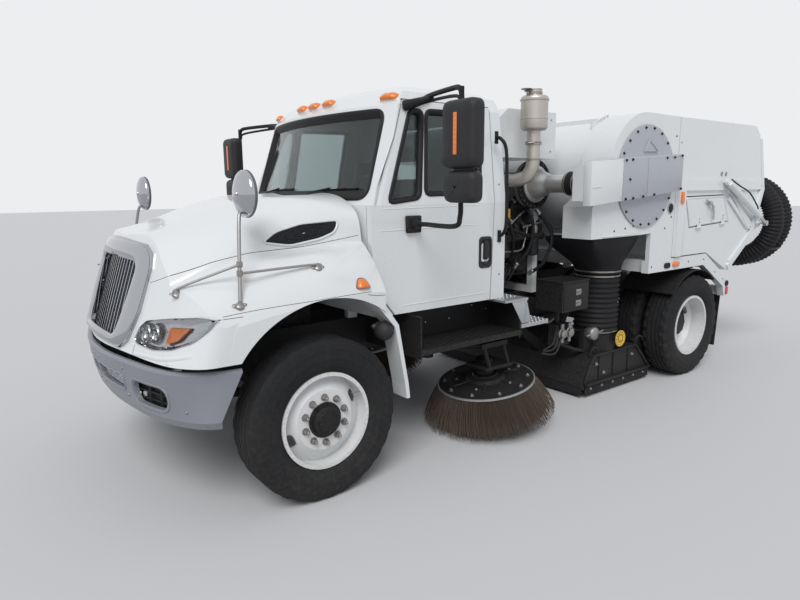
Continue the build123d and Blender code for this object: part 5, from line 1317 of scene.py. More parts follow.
def addBristle(shape, onBroom, draw, turn, share):
    look = broomLook
    root, tip = (low + (high - low) * share for low, high in (look["root"], look["tip"]))
    root += draw.uniform(-0.006, 0.004)
    tip += draw.uniform(-0.02, 0.002)
    swing = draw.uniform(-0.03, 0.03) + 0.035
    bow = draw.uniform(0.006, 0.02)
    width = draw.uniform(0.0016, 0.0027)
    bottom = look["tipLevel"] + draw.uniform(0, 0.022)
    rings = []
    for t in (0, 1 / 3, 2 / 3, 1):
        around = turn + swing * t * t
        radial = root + (tip - root) * t + bow * math.sin(t * math.pi)
        height = look["rootLevel"] + (bottom - look["rootLevel"]) * t
        middle = onBroom(radial, around, height)
        across = (onBroom(radial, around + 0.01, height) - middle).normalized()
        out = (onBroom(radial + 0.01, around, height) - middle).normalized()
        rings.append([middle + across * width, middle - across * width, middle + out * width * 1.5])
    addBand(shape, rings, capped=True)


def makeBrooms():
    look = broomLook
    for side, sign in sides:
        body = f"gutter_broom_{side}"
        up = vec(0, -math.sin(look["lean"]), math.cos(look["lean"]))
        x, d, z = look["centre"]
        origin = spot(sign * x, d, z)
        first = vec(sign, 0, 0)
        second = up.cross(first)

        def onBroom(radius, turn, level):
            return origin + (first * math.cos(turn) + second * math.sin(turn)) * radius + up * level

        plate = addLathe(newShape(), origin, up, look["plate"], 72)
        for step in range(6):
            turn = math.pi * step / 3 + 0.2
            arm = [onBroom(radius, turn, level) for radius, level in pairs(100, 22, 200, 17, 285, 12)]
            addTube(plate, arm, 0.01, 8)
        makePiece(f"broomPlate_{side}", plate, "blackPaint", body, 40, [f"gutter_broom_{side}"])
        rim = addLathe(newShape(), origin, up, look["rim"], 96)
        makePiece(f"broomRim_{side}", rim, "treadMetal", body, 50)
        bolts = newShape()
        for step in range(10):
            turn = 2 * math.pi * step / 10 + 0.15
            for distance in (0.335,) if step % 2 else (0.335, 0.235):
                addNuts(bolts, [onBroom(distance, turn, 0.006)], up, 0.024, 0.012, 0.006)
        makePiece(f"broomBolts_{side}", bolts, "boltSteel", body)
        motor = addLathe(newShape(), origin, up, look["motor"], 28)
        for turn in (0.6, 2.4):
            addTube(motor, [onBroom(0.055, turn, 0.13), onBroom(0.1, turn, 0.135)], 0.014, 10)
        makePiece(f"broomMotor_{side}", motor, "engineIron", body, 40)
        draw = random.Random(31 + sign)
        bristles = newShape()
        for row in range(look["rows"]):
            for step in range(look["perRow"]):
                turn = 2 * math.pi * (step + draw.uniform(-0.45, 0.45) + row * 0.25) / look["perRow"]
                addBristle(bristles, onBroom, draw, turn, row / (look["rows"] - 1))
        # the dense core behind the loose bristles
        addLathe(bristles, origin, up, look["core"], 96, closed=True)
        makePiece(f"bristles_{side}", bristles, "bristleFibre", body, 20)


makeBrooms()
print("brooms made")

# Engine bay: hoses, pipes, filters, a valve block and castings
sideways = (1, 0, 0)
engineLook = {
    "hoses": (
        triples(500, 2020, 1860, 660, 2000, 1740, 700, 2100, 1520, 600, 2200, 1340, 480, 2240, 1220),
        triples(460, 2340, 1800, 620, 2420, 1660, 640, 2400, 1400, 550, 2300, 1200),
        triples(480, 2120, 1620, 600, 2160, 1560, 660, 2300, 1500, 580, 2460, 1460, 470, 2520, 1500),
        triples(420, 1980, 1700, 560, 1930, 1500, 620, 1960, 1240, 550, 2060, 1080),
        triples(600, 2520, 1700, 740, 2560, 1500, 720, 2500, 1260, 600, 2440, 1140),
    ),
    "pipes": (
        triples(
            440, 2000, 1360, 580, 2000, 1360, 610, 2060, 1360,
            610, 2300, 1360, 600, 2360, 1420, 600, 2400, 1560,
        ),
        triples(460, 2600, 1620, 600, 2600, 1620, 630, 2560, 1600, 630, 2300, 1560),
        triples(470, 2080, 1460, 560, 2090, 1470, 580, 2220, 1600, 560, 2400, 1700),
    ),
    "fitting": pairs(-10, 19, 30, 19, 34, 21, 46, 21, 50, 18),
    "valveBlock": (0.61, 2.06, 1.645, 0.06, 0.075, 0.08),
    "valveNuts": ((-0.05, 0.0), (0.05, -0.02), (0.0, 0.055), (0.02, -0.06)),
    "filters": ((0.565, 2.14, 1.3, 0.055, 0.17), (0.575, 2.5, 1.3, 0.05, 0.15)),
    "port": pairs(0, 36, 30, 34, 36, 26, 60, 24),
    "castings": (
        ((0.48, 2.16, 1.86), pairs(0, 60, 30, 85, 75, 88, 80, 70, 120, 62, 125, 30)),
        ((0.5, 2.1, 1.4), pairs(0, 60, 50, 62, 55, 52, 62, 52, 68, 60, 74, 45, 78, 12)),
        ((0.48, 2.38, 1.24), pairs(0, 78, 70, 80, 75, 66, 85, 66, 90, 20)),
    ),
}


def makeEngineParts():
    look = engineLook
    hoses = newShape()
    pipes = newShape()
    for route in look["hoses"]:
        addTube(hoses, mirrored(1, route), 0.016, 12, 8)
    for step in range(4):
        d = 2.18 + 0.035 * step
        upper = (0.49, d, 1.26), (0.6 + 0.01 * step, d - 0.08, 1.2)
        lower = (0.58, d - 0.18, 1.1 - 0.02 * step), (0.5, d - 0.24, 1.02)
        addTube(hoses, mirrored(1, upper + lower), 0.008, 8, 8)
    makePiece("engineHoses", hoses, "hoseRubber", smooth=50)
    for route in look["pipes"]:
        addTube(pipes, mirrored(1, route), 0.009, 10, 5)
    for route in look["hoses"]:
        points = mirrored(1, route)
        for start, after in ((points[0], points[1]), (points[-1], points[-2])):
            addLathe(pipes, start, after - start, look["fitting"], 14)
    x, d, z, halfX, halfD, halfZ = look["valveBlock"]
    nuts = [spot(x + halfX / 2, d + dd, z + dz) for dd, dz in look["valveNuts"]]
    addNuts(pipes, nuts, sideways, 0.03, 0.03, 0.012)
    makePiece("enginePipes", pipes, "boltSteel", smooth=50)
    block = newShape()
    addBox(block, spot(x - halfX, d - halfD, z - halfZ), spot(x + halfX / 2, d + halfD, z + halfZ), 0.006)
    low, high = spot(x - halfX, d - 0.045, z - 0.11), spot(x + halfX / 3, d + 0.025, z + 0.115)
    makePiece("valveBlock", addBox(block, low, high, 0.005), "signYellow")
    castings = newShape()
    for x, d, z, radius, height in look["filters"]:
        bowl = (0, 0.7), (0.006, 0.96), (0.014, 1), (height - 0.03, 1)
        cap = (height - 0.028, 1.08), (height, 1.08), (height + 0.01, 0.6)
        addLathe(castings, spot(x, d, z), (0, 0, 1), scaled(bowl + cap, radius), 28)
    for step in range(6):
        d = 2.06 + 0.105 * step
        addLathe(castings, spot(0.475, d, 1.735), sideways, look["port"], 16)
        addBox(castings, spot(0.47, d - 0.035, 1.47), spot(0.535, d + 0.035, 1.66), 0.012)
        elbow = (0.53, d, 1.6), (0.575, d + 0.01, 1.56), (0.57, d + 0.015, 1.49)
        addTube(castings, mirrored(1, elbow), 0.02, 12, 5)
    addTube(castings, [spot(0.575, 2.03, 1.47), spot(0.575, 2.63, 1.47)], 0.03, 16)
    for place, profile in look["castings"]:
        addLathe(castings, spot(*place), sideways, profile, 26)
    for step in range(9):
        d = 2.02 + step * 0.075
        addBox(castings, spot(0.478, d, 1.14), spot(0.492, d + 0.012, 1.42), 0.002)
    makePiece("engineCastings", castings, "engineIron", smooth=40)


# Drive: a bolted ring, a cone, and a sleeve with its clamps
driveLook = {
    "centre": (2.45, 1.93),
    "ring": pairs(0, 206, 4, 212, 16, 212, 19, 208, 20, 130, 12, 128),
    "cone": pairs(0, 158, 6, 160, 12, 158, 14, 132, 30, 128, 120, 94, 150, 79, 170, 74.5, 362, 74.5),
    "sleeve": pairs(0, 80, 1, 94, 6, 97, 30, 97, 33, 93, 75, 93, 78, 97, 103, 97, 108, 94, 109, 80),
    "clamp": pairs(-6, 96.8, -6, 98.5, 6, 98.5, 6, 96.8),
}


def makeDriveParts():
    look = driveLook
    d, z = look["centre"]
    ring = addLathe(newShape(), spot(0.612, d, z), sideways, look["ring"], 64)
    addNuts(ring, sideCircle(spot(0.632, d, z), 12, 0.18, 0.5), sideways, 0.022, 0.012)
    makePiece("driveRing", ring, "blackPaint")
    bolts = addDomes(newShape(), sideCircle(spot(0.632, d, z), 24, 0.196), sideways, 0.005, 0.004, 8)
    addNuts(bolts, sideCircle(spot(0.636, d, z), 8, 0.145), sideways, 0.016, 0.008)
    makePiece("driveBolts", bolts, "boltSteel")
    cone = addLathe(newShape(), spot(0.632, d, z), sideways, look["cone"], 56)
    addTube(cone, [spot(0.66, d + 0.105, z + 0.075), spot(0.8, d + 0.07, z + 0.05)], 0.006, 8)
    makePiece("driveCone", cone, "canisterPale", smooth=40)
    sleeve = addLathe(newShape(), spot(0.985, d, z), sideways, look["sleeve"], 40)
    makePiece("driveSleeve", sleeve, "hoseRubber", smooth=40)
    clamps = newShape()
    for x in (1.002, 1.078):
        addLathe(clamps, spot(x, d, z), sideways, look["clamp"], 40, closed=True)
    addTube(clamps, [spot(1.02, d - 0.03, z - 0.1), spot(1.06, d - 0.02, z - 0.1)], 0.005, 8)
    makePiece("driveClamps", clamps, "boltSteel", smooth=40)


makeEngineParts()
makeDriveParts()
print("engine bay made")

# Exhaust: smooth elbow, bands, canister and an open rain flap
exhaustLook = {
    "centre": (0.93, 2.06),
    "canister": pairs(
        2335, 50, 2341, 88, 2350, 101, 2360, 105, 2420, 105, 2423, 108, 2432, 108, 2435, 105,
        2560, 105, 2563, 112, 2574, 112, 2577, 107, 2588, 104, 2598, 92, 2601, 55,
    ),
    "spout": pairs(2598, 58, 2612, 54, 2640, 54, 2644, 58, 2647.5, 58, 2647.5, 50, 2620, 48),
    "pipe": triples(
        930, 2060, 2350, 930, 2060, 2200, 930, 2060, 2100, 918, 2056, 2040,
        875, 2042, 1985, 800, 2018, 1960, 720, 1995, 1960, 600, 1960, 1960,
    ),
    "dome": pairs(-60, 20, -45, 45, 0, 63.5, 30, 55, 55, 30, 62, 4),
    "bands": ((2.25, 0.0545), (2.236, 0.0545), (2.12, 0.054)),
}


def makeExhaust():
    look = exhaustLook
    x, d = look["centre"]
    up = (0, 0, 1)
    pipe = addTube(newShape(), mirrored(1, look["pipe"]), 0.053, 32, 7)
    addTube(pipe, mirrored(1, triples(600, 1960, 1990, 600, 1960, 1800, 600, 1960, 1500)), 0.0622, 28)
    addLathe(pipe, spot(0.6, 1.96, 1.96), (0, 0.3, 1), look["dome"], 28)
    makePiece("exhaustPipe", pipe, "canisterSteel", smooth=50, replaced=["exhaust_stack"])
    can = addLathe(newShape(), spot(x, d, 0), up, look["canister"], 56)
    addLathe(can, spot(x, d, 0), up, look["spout"], 40)
    makePiece("exhaustCanister", can, "canisterSteel", smooth=40)
    bands = newShape()
    for height, radius in look["bands"]:
        profile = (-0.006, radius), (-0.005, radius + 0.009), (0.005, radius + 0.009), (0.006, radius)
        addLathe(bands, spot(x, d, height), up, profile, 40, closed=True)
    addTube(bands, [spot(x + 0.042, d - 0.062, 2.243), spot(x + 0.018, d - 0.078, 2.243)], 0.006, 8)
    addNuts(bands, [spot(x + 0.044, d - 0.061, 2.243)], (0.9, 0.4, 0), 0.016, 0.009)
    addLathe(bands, spot(x, d, 2.619), up, pairs(-8, 54.5, -8, 59, 8, 59, 8, 54.5), 40, closed=True)
    makePiece("exhaustBands", bands, "boltSteel", smooth=40)
    hinge = spot(x - 0.015, d - 0.06, 2.634)
    away = vec(0.25, -0.72, 0).normalized()
    across = away.cross(Vector(up))
    disc = [
        hinge + away * (0.034 + 0.034 * c) + across * 0.045 * s + vec(0, 0, 0.0072 + 0.0032 * c)
        for c, s in circle(20, 1)
    ]
    flap = addSlab(newShape(), disc, (0, 0, 0.0035), 0.001)
    addTube(flap, [hinge + across * share for share in (-0.03, 0.03)], 0.006, 10)
    addBox(flap, hinge + vec(-0.012, -0.01, -0.03), hinge + vec(0.012, 0.02, 0.004), 0.002)
    makePiece("rainFlap", flap, "boltSteel", smooth=40)


makeExhaust()
print("exhaust made")

# Blower module: bolted cover, lifting eye, belt guard, top handles, porthole
blowerLook = {
    "centre": (3.25, 1.985),
    "coverFace": 1.202,
    "disc": pairs(0, 440, 3, 443, 7, 442, 8, 436, 8.2, 20),
    "guardFace": 1.27,
    "guardBolts": pairs(
        2905, 2122, 3437, 2148, 2880, 1960, 2940, 1806, 3260, 1832, 3688, 2172,
        3700, 1880, 3560, 2155, 3090, 1818, 2815, 2115, 2830, 1800,
    ),
    "moduleBolts": pairs(
        2620, 2470, 2980, 1545, 3100, 1560, 3620, 1520, 3720, 1620, 3740, 2050, 3720, 2350, 2820, 1530,
    ),
    "eye": (pairs(3165, 2196, 3385, 2200, 3235, 2300), pairs(3175, 2202, 3375, 2206, 3237, 2292)),
    "guardStart": 2.357,
    "guardSplit": (2.785, 3.15),
    "guardEnd": 3.716,
    "guardSide": pairs(2354.5, 1752, 2354.5, 2098, 2352, 2098, 2352, 1752),
    "handles": ((0.8, 2.98), (0.8, 3.62), (-0.8, 2.98), (-0.8, 3.62)),
    "porthole": (3.695, 1.7, 0.052),
    "portRing": ((-0.002, 1), (0.006, 1), (0.008, 0.94), (0.007, 0.84), (-0.001, 0.8)),
    "portPane": ((-0.001, 0.82), (0.0025, 0.82), (0.003, 0.2)),
    "lips": ((1.17, 2.66, 1.214, 3.16), (0.62, 2.633, 1.192, 2.677)),
}


def addHandle(shape, meet, x, d, length, lift, limit):  # a bent rod on a top, below a limit
    ends = [topPoint(meet, x, d), topPoint(meet, x, d + length)]
    if not all(ends):
        return
    rise = vec(0, 0, min(lift, limit - max(ends[0].z, ends[1].z)))
    inward = vec(0, 0.02, 0)
    front, back = ([end, end + rise * 0.8, end + rise + turn] for end, turn in zip(ends, (inward, -inward)))
    addTube(shape, front + back[::-1], 0.008, 10, 5)


def makeBlowerParts():
    look = blowerLook
    meet = surfaceOf("blower_module")
    d, z = look["centre"]
    face = look["coverFace"]
    guard = look["guardFace"]
    cover = addLathe(newShape(), spot(face - 0.004, d, z), sideways, look["disc"], 120)
    makePiece("coverDisc", cover, "panelPaint", smooth=30)
    places = sideCircle(spot(face + 0.003, d, z), 20, 0.418, 0.5)
    bolts = addNuts(newShape(), places, sideways, 0.018, 0.009, 0.004)
    addNuts(bolts, upright(guard + 0.0005, look["guardBolts"]), sideways, 0.02, 0.01, 0.004)
    addStuds(bolts, meet, 1, look["moduleBolts"], height=0.006)
    makePiece("blowerBolts", bolts, "blackPaint")
    plate, rod = look["eye"]
    eye = addPlate(newShape(), 1, face + 0.004, plate, 0.01, 0.004)
    addTube(eye, upright(face + 0.012, rod), 0.0085, 10, closed=True)
    makePiece("coverEye", eye, "panelPaint", smooth=40)

    def guardEdges(d, inset=0.0):  # the guard leans and narrows a little
        return 1.75 + (d - 2.355) * 0.112 / 1.365 + inset, 2.1 + (d - 2.355) * 0.09 / 1.365 - inset

    def addPanel(shape, start, end, thick, after=0.0, before=0.0):  # with gaps at its two ends
        (lowStart, highStart), (lowEnd, highEnd) = guardEdges(start, 0.002), guardEdges(end, 0.002)
        left, right = start + after, end - before
        corners = (left, lowStart), (right, lowEnd), (right, highEnd), (left, highStart)
        return addPlate(shape, 1, guard - 0.001, corners, thick, 0.0015)

    split, seam = look["guardSplit"]
    panels = newShape()
    addPanel(panels, split, seam, 0.0035, before=0.002)
    addPanel(panels, seam, look["guardEnd"], 0.0035, after=0.002)
    makePiece("guardPanels", panels, "panelPaint", smooth=30)
    white = addPanel(newShape(), look["guardStart"], split, 0.003, before=0.003)
    addPlate(white, 1, 1.203, look["guardSide"], 0.069, 0.0008)
    top = guardEdges(split)[1]
    rim = (2.357, 2.1003), (split, top + 0.0003), (split, top + 0.0025), (2.357, 2.1025)
    addPlate(white, 1, 1.203, rim, 0.069, 0.0008)
    addTube(white, upright(guard + 0.004, pairs(2375, 1895, 2480, 1903)), 0.004, 8)
    makePiece("guardWhitePanel", white, "whitePaint", smooth=30)
    seams = newShape()
    for dd in (split - 0.0015, seam):
        low, high = guardEdges(dd, 0.003)
        addPlate(seams, 1, guard - 0.001, rectangle(dd - 0.0017, low, dd + 0.0017, high), 0.0018, 0)
    makePiece("guardSeams", seams, "sealRubber")
    handles = newShape()
    for x, start in look["handles"]:
        addHandle(handles, meet, x, start, 0.24, 0.052, 2.64)
    makePiece("topHandles", handles, "whitePaint", smooth=50)
    d, z, radius = look["porthole"]
    hit = sidePoint(meet, 1, d, z)
    port, pane = (
        addLathe(newShape(), hit, sideways, scaled(look[name], radius), 32)
        for name in ("portRing", "portPane")
    )
    addDomes(port, sideCircle(hit + vec(0.007, 0, 0), 6, radius * 0.9), sideways, 0.004, 0.003, 8)
    makePiece("portholeRing", port, "panelPaint", smooth=40)
    makePiece("portholePane", pane, "darkMesh", smooth=40)
    lip = newShape()
    for box in look["lips"]:
        addSlab(lip, [spot(x, d, 1.486) for x, d in rectangle(*box)], (0, 0, 0.008), 0.002)
    makePiece("moduleLip", lip, "whitePaint")


makeBlowerParts()
print("blower dressed")

# Ducts and hoses under the module: flared boots, ribbed hose and bands
ductLook = {
    "top": (0.91, 2.9, 0.262, 0.34, 1.47),
    "round": (0.82, 3.15, 0.205, 1.126),
    "shares": (0.0, 0.02, 0.06, 0.25, 0.5, 0.75, 0.94, 1.0),
    "collar": pairs(1118, 200, 1122, 211, 1150, 211, 1156, 200),
    "hose": (0.56, 1.118, 0.196),
    "neck": pairs(392, 188, 556, 188, 560, 196),
    "ribs": (12, 0.01),
    "rib": ((0.12, -0.3), (0.3, 0.35), (0.42, 0.95), (0.5, 1.0), (0.58, 0.95), (0.7, 0.35), (0.88, -0.3)),
    "bands": ((1.14, 0.2115), (0.576, 0.201), (1.096, 0.205)),
}


def hoseProfile():
    look = ductLook
    low, high, radius = look["hose"]
    count, rise = look["ribs"]
    pitch = (high - low) / count
    ribs = []
    for rib in range(count):
        ribs += [(low + pitch * (rib + share), radius + rise * lift) for share, lift in look["rib"]]
    return look["neck"] + ribs[1:] + [(high, radius)]


def makeDucts():
    look = ductLook
    topX, topD, halfX, halfD, topZ = look["top"]
    lowX, lowD, radius, lowZ = look["round"]
    for side, sign in sides:
        foot = spot(sign * lowX, lowD, 0)
        rings = []
        for t in look["shares"]:
            soft = t * t * (3 - 2 * t)
            grow = 0.006 if t <= 0.06 else 0.0
            loop = []
            for c, s in circle(48, 1):
                square = 1 / max(abs(c), abs(s)) ** 0.86
                x = (topX + halfX * c * square) * (1 - soft) + (lowX + radius * c) * soft + grow * c
                d = (topD + halfD * s * square) * (1 - soft) + (lowD + radius * s) * soft + grow * s
                loop.append(spot(sign * x, d, topZ + (lowZ - topZ) * t))
            rings.append(loop)
        boot = addLathe(addBand(newShape(), rings), foot, (0, 0, 1), look["collar"], 48)
        hose = addLathe(newShape(), foot, (0, 0, 1), hoseProfile(), 56)
        left = side == "left"
        makePiece(f"ductBoot_{side}", boot, "hoseRubber", smooth=50, replaced=["air_ducts"] if left else ())
        makePiece(f"airHose_{side}", hose, "hoseRubber", smooth=50, replaced=["air_hoses"] if left else ())
        bands = newShape()
        for z, wide in look["bands"]:
            band = rectangle(-0.007, wide - 0.003, 0.007, wide + 0.002)
            addLathe(bands, spot(sign * lowX, lowD, z), (0, 0, 1), band, 56, closed=True)
            bolt = (lowX + wide, lowD - 0.03, z), (lowX + wide + 0.002, lowD + 0.03, z)
            addTube(bands, mirrored(sign, bolt), 0.007, 10)
        makePiece(f"hoseBands_{side}", bands, "boltSteel", smooth=50)


makeDucts()
print("ducts made")

# Pick-up head: skirts, stiffeners, bolts, round gauges, motors and the valve stand
headLook = {
    "skirt": pairs(2780, 125, 3790, 120, 3800, 30, 2770, 34),
    "frame": pairs(2760, 150, 2835, 318, 2905, 385, 3555, 385, 3622, 318, 3800, 135),
    "lip": pairs(2770, 145, 3800, 140, 3805, 118, 2765, 122),
    "endSkirt": pairs(-990, 115, 990, 115, 990, 24, -990, 24),
    "hook": triples(985, 0, 390, 990, 5, 430, 1005, 30, 462, 1020, 60, 452, 1020, 70, 420),
    "edgeNuts": pairs(2850, 85, 3020, 85, 3190, 85, 3360, 85, 3530, 85, 3700, 85),
    "faceNuts": pairs(2930, 300, 3500, 300, 3050, 200),
    "disc": (1.075, 3.209, 0.51, 0.076),
    "discShares": (
        (0, 0.7), (0.012, 1), (0.018, 1), (0.02, 0.94), (0.018, 0.9), (0.019, 0.3),
        (0.026, 0.26), (0.027, 0.0526),
    ),
    "marks": ((0, 0.5), (0.0015, 0.5), (0.0015, 0.44), (0, 0.44)),
    "carrier": pairs(0, 30, 100, 30, 102, 45, 112, 45),
    "motor": (1.0, 2.93, 0.58),
    "motorProfile": pairs(0, 43.4, 10, 49.6, 50, 49.6, 52, 62, 85, 62, 92, 57.04, 100, 37.2, 104, 12.4),
    "valve": pairs(0, 40, 12, 48, 35, 48, 40, 40, 60, 36, 65, 20),
}


def makeHeadParts():
    look = headLook
    skirts = newShape()
    bars = newShape()
    bolts = newShape()
    for sign in (1, -1):
        addPlate(skirts, sign, 1.002, look["skirt"], 0.012)
        path = upright(sign * 1.006, look["frame"])
        for one, two in zip(path, path[1:]):
            addBar(bars, one, two, 0.012, (sign * 0.012, 0, 0), 0.002)
        addPlate(bars, sign, 1.004, look["lip"], 0.035)
        for d in (2.98, 3.2, 3.44):
            addPlate(bars, sign, 1.001, rectangle(d - 0.006, 0.15, d + 0.006, 0.385), 0.01, 0.002)
        for d in (2.86, 3.58):
            hook = [spot(sign * x, d + dd, z) for x, dd, z in look["hook"]]
            addTube(bars, hook, 0.009, 10, 5)
        addNuts(bolts, upright(sign * 1.014, look["edgeNuts"]), (sign, 0, 0), 0.02, 0.01)
        addNuts(bolts, upright(sign * 1.006, look["faceNuts"]), (sign, 0, 0), 0.026, 0.012, 0.006)
    for d in (2.742, 3.812):
        addSlab(skirts, crossways(d, look["endSkirt"]), (0, 0.01, 0))
    for x in (-0.55, -0.1, 0.35):
        addBox(bars, spot(x, 2.93, 0.391), spot(x + 0.05, 3.52, 0.418), 0.003)
    makePiece("headSkirts", skirts, "hoseRubber")
    makePiece("headBars", bars, "blackPaint", smooth=40)
    makePiece("headBolts", bolts, "boltSteel")
    for side, sign in sides:
        makeGauge(side, sign)
        makeMotors(side, sign)


def makeGauge(side, sign):
    look = headLook
    x, d, z, radius = look["disc"]
    out = (sign, 0, 0)
    disc = addLathe(newShape(), spot(sign * (x - 0.03), d, z), out, scaled(look["discShares"], radius), 40)
    makePiece(f"gaugeDisc_{side}", disc, "signYellow", smooth=40)
    places = sideCircle(spot(sign * (x - 0.012), d, z), 12, radius * 0.78)
    marks = addDomes(newShape(), places, out, 0.0045, 0.003, 8)
    addLathe(marks, spot(sign * (x - 0.011), d, z), out, scaled(look["marks"], radius), 32, closed=True)
    makePiece(f"gaugeMarks_{side}", marks, "blackPaint", smooth=40)
    carrier = addLathe(newShape(), spot(sign * (x - 0.13), d, z), out, look["carrier"], 20)
    addBox(carrier, spot(sign * 0.84, 2.88, 0.391), spot(sign * 0.9, d + 0.09, 0.6), 0.006)
    makePiece(f"gaugeCarrier_{side}", carrier, "blackPaint", smooth=40)


def makeMotors(side, sign):
    look = headLook
    x, d, z = look["motor"]
    out = (sign, 0, 0)
    motor = addLathe(newShape(), spot(sign * (x - 0.11), d, z), out, look["motorProfile"], 32)
    addTube(motor, mirrored(sign, ((x - 0.03, d - 0.12, z - 0.005), (x - 0.03, d - 0.04, z))), 0.01, 10)
    addTube(motor, mirrored(sign, ((x - 0.03, d + 0.05, z), (x - 0.02, d + 0.13, z + 0.02))), 0.008, 10)
    for step in range(2):
        base = spot(sign * 0.86, 2.565 + 0.1 * step, 0.62)
        addLathe(motor, base, out, look["valve"], 24)
        addTube(motor, [base + vec(sign * 0.03, 0, dz) for dz in (-0.08, 0.09)], 0.018, 14)
    makePiece(f"vibratorMotor_{side}", motor, "boltSteel", smooth=40)
    stand = addBox(newShape(), spot(sign * 0.77, 2.52, 0.5), spot(sign * 0.865, 2.71, 0.7), 0.006)
    addTube(stand, mirrored(sign, triples(800, 2600, 695, 800, 2600, 900)), 0.022, 12)
    addTube(stand, mirrored(sign, triples(820, 2620, 510, 860, 2780, 440, 880, 2920, 400)), 0.016, 10, 5)
    for step in range(3):
        start = 0.84 + 0.02 * step, 2.54 + 0.03 * step, 0.68
        middle = 0.9 + 0.015 * step, 2.44, 0.56 - 0.04 * step
        end = 0.86 + 0.03 * step, 2.36 - 0.05 * step, 0.5
        addTube(stand, mirrored(sign, (start, middle, end)), 0.009, 8, 8)
    makePiece(f"valveStand_{side}", stand, "engineIron", smooth=40)


makeHeadParts()
print("pick-up head dressed")

# Black equipment box: its lid, its door and two latches
boxLook = {"face": 1.05, "latches": (1.02, 0.925), "door": (2.36, 0.875, 2.69, 1.095)}


def makeBoxParts():
    face = boxLook["face"]
    latches = newShape()
    for z in boxLook["latches"]:
        addBox(latches, spot(face, 2.52, z - 0.026), spot(face + 0.008, 2.59, z + 0.026), 0.003)
        handle = (face + 0.014, 2.53, z), (face + 0.02, 2.555, z), (face + 0.014, 2.58, z)
        addTube(latches, mirrored(1, handle), 0.006, 8, 4)
        screws = upright(face + 0.008, ((2.528, z + 0.016), (2.582, z + 0.016)))
        addDomes(latches, screws, sideways, 0.005, 0.003, 8)
    makePiece("boxLatches", latches, "boltSteel", smooth=40)
    lid = addBox(newShape(), spot(0.766, 2.338, 1.106), spot(1.056, 2.706, 1.121), 0.003)
    addPlate(lid, 1, face, rectangle(*boxLook["door"]), 0.005, 0.002)
    makePiece("boxLid", lid, "blackPaint")


makeBoxParts()

# Hopper: latches and rims of the side doors, rails, lamps, reflectors, bolts and top handles
hopperLook = {
    "latch": (1.195, 4.395, 1.735),
    "lever": triples(20, -75, 30, 28, -20, 10, 28, 20, -10, 20, 85, -45),
    "pull": triples(26, 30, -12, 28, 65, -80, 26, 75, -165),
    "pivot": pairs(0, 20, 26, 20, 30, 14),
    "hatch": pairs(4063, 1512, 4850, 1542, 4712, 1806, 3964, 1797),
    "hinges": pairs(4215, 1555, 4215, 1587, 4690, 1572, 4690, 1604),
    "collars": pairs(4630, 2020, 4720, 2020),
    "collar": pairs(0, 22, 4, 22, 5, 12, 2, 10),
    "bolts": pairs(3815, 2300, 3815, 2050, 5520, 1900, 5330, 1460),
    "rails": (
        (pairs(3935, 1912, 5560, 1922), 0.046),
        (pairs(3905, 1250, 3905, 1855), 0.03),
        (pairs(5545, 1850, 5372, 1412), 0.036),
        (pairs(5350, 1378, 4930, 1090), 0.036),
        (pairs(4800, 1775, 5290, 1450), 0.022),
    ),
    "railDepth": 0.024,
    "marker": (3.852, 1.795),
    "sillLamp": (pairs(3800, 1143, 3910, 1143, 3910, 1193, 3800, 1193), 0.024),
    "sillLens": ((1.0, 0.0), (0.98, 0.01), (0.88, 0.017), (0.5, 0.02), (0.02, 0.021)),
    "sillSocket": (pairs(3655, 1140, 3750, 1140, 3750, 1190, 3655, 1190), 0.022),
    "sillCup": ((1.0, 0.0), (1.0, 0.01), (0.86, 0.012), (0.8, 0.004), (0.02, 0.004)),
    "plug": pairs(-4, 30, 10, 30, 14, 24, 15, 4),
    "reflector": (4.925, 0.755, 4.97, 0.838),
    "sillBolts": pairs(3440, 1172, 4100, 1172, 4400, 1172, 4660, 1020, 4850, 930),
    "hose": triples(1262, 4700, 1965, 1275, 4860, 1900, 1272, 5100, 1830, 1270, 5300, 1700, 1268, 5350, 1655),
    "handles": ((0.75, 3.95), (-0.75, 3.95), (0.75, 4.95), (-0.75, 4.95)),
}


def makeHatchParts(side, sign):
    look = hopperLook
    hatch = f"inspection_door_{side}"
    face, d, z = look["latch"]
    corners = rectangle(d - 0.03, z - 0.02, d + 0.03, z + 0.02)
    latch = addPlate(newShape(), sign, face, corners, 0.012)
    for name, radius in (("lever", 0.0085), ("pull", 0.01)):
        route = [(face + x, d + dd, z + dz) for x, dd, dz in look[name]]
        addTube(latch, mirrored(sign, route), radius, 10, 5)
    addLathe(latch, spot(sign * (face + 0.01), d, z), (sign, 0, 0), look["pivot"], 20)
    makePiece(f"hatchLatch_{side}", latch, "treadMetal", hatch, 50)
    inner = growLoop(roundLoop(look["hatch"], 0.02, 3), -0.012)
    rim = addTube(newShape(), upright(sign * 1.1945, inner), 0.005, 8, closed=True)
    makePiece(f"hatchRim_{side}", rim, "whitePaint", hatch, 50)
    bolts = addDomes(newShape(), upright(sign * 1.2105, look["hinges"]), (sign, 0, 0), 0.0085, 0.005)
    makePiece(f"hatchBolts_{side}", bolts, "boltSteel", hatch)


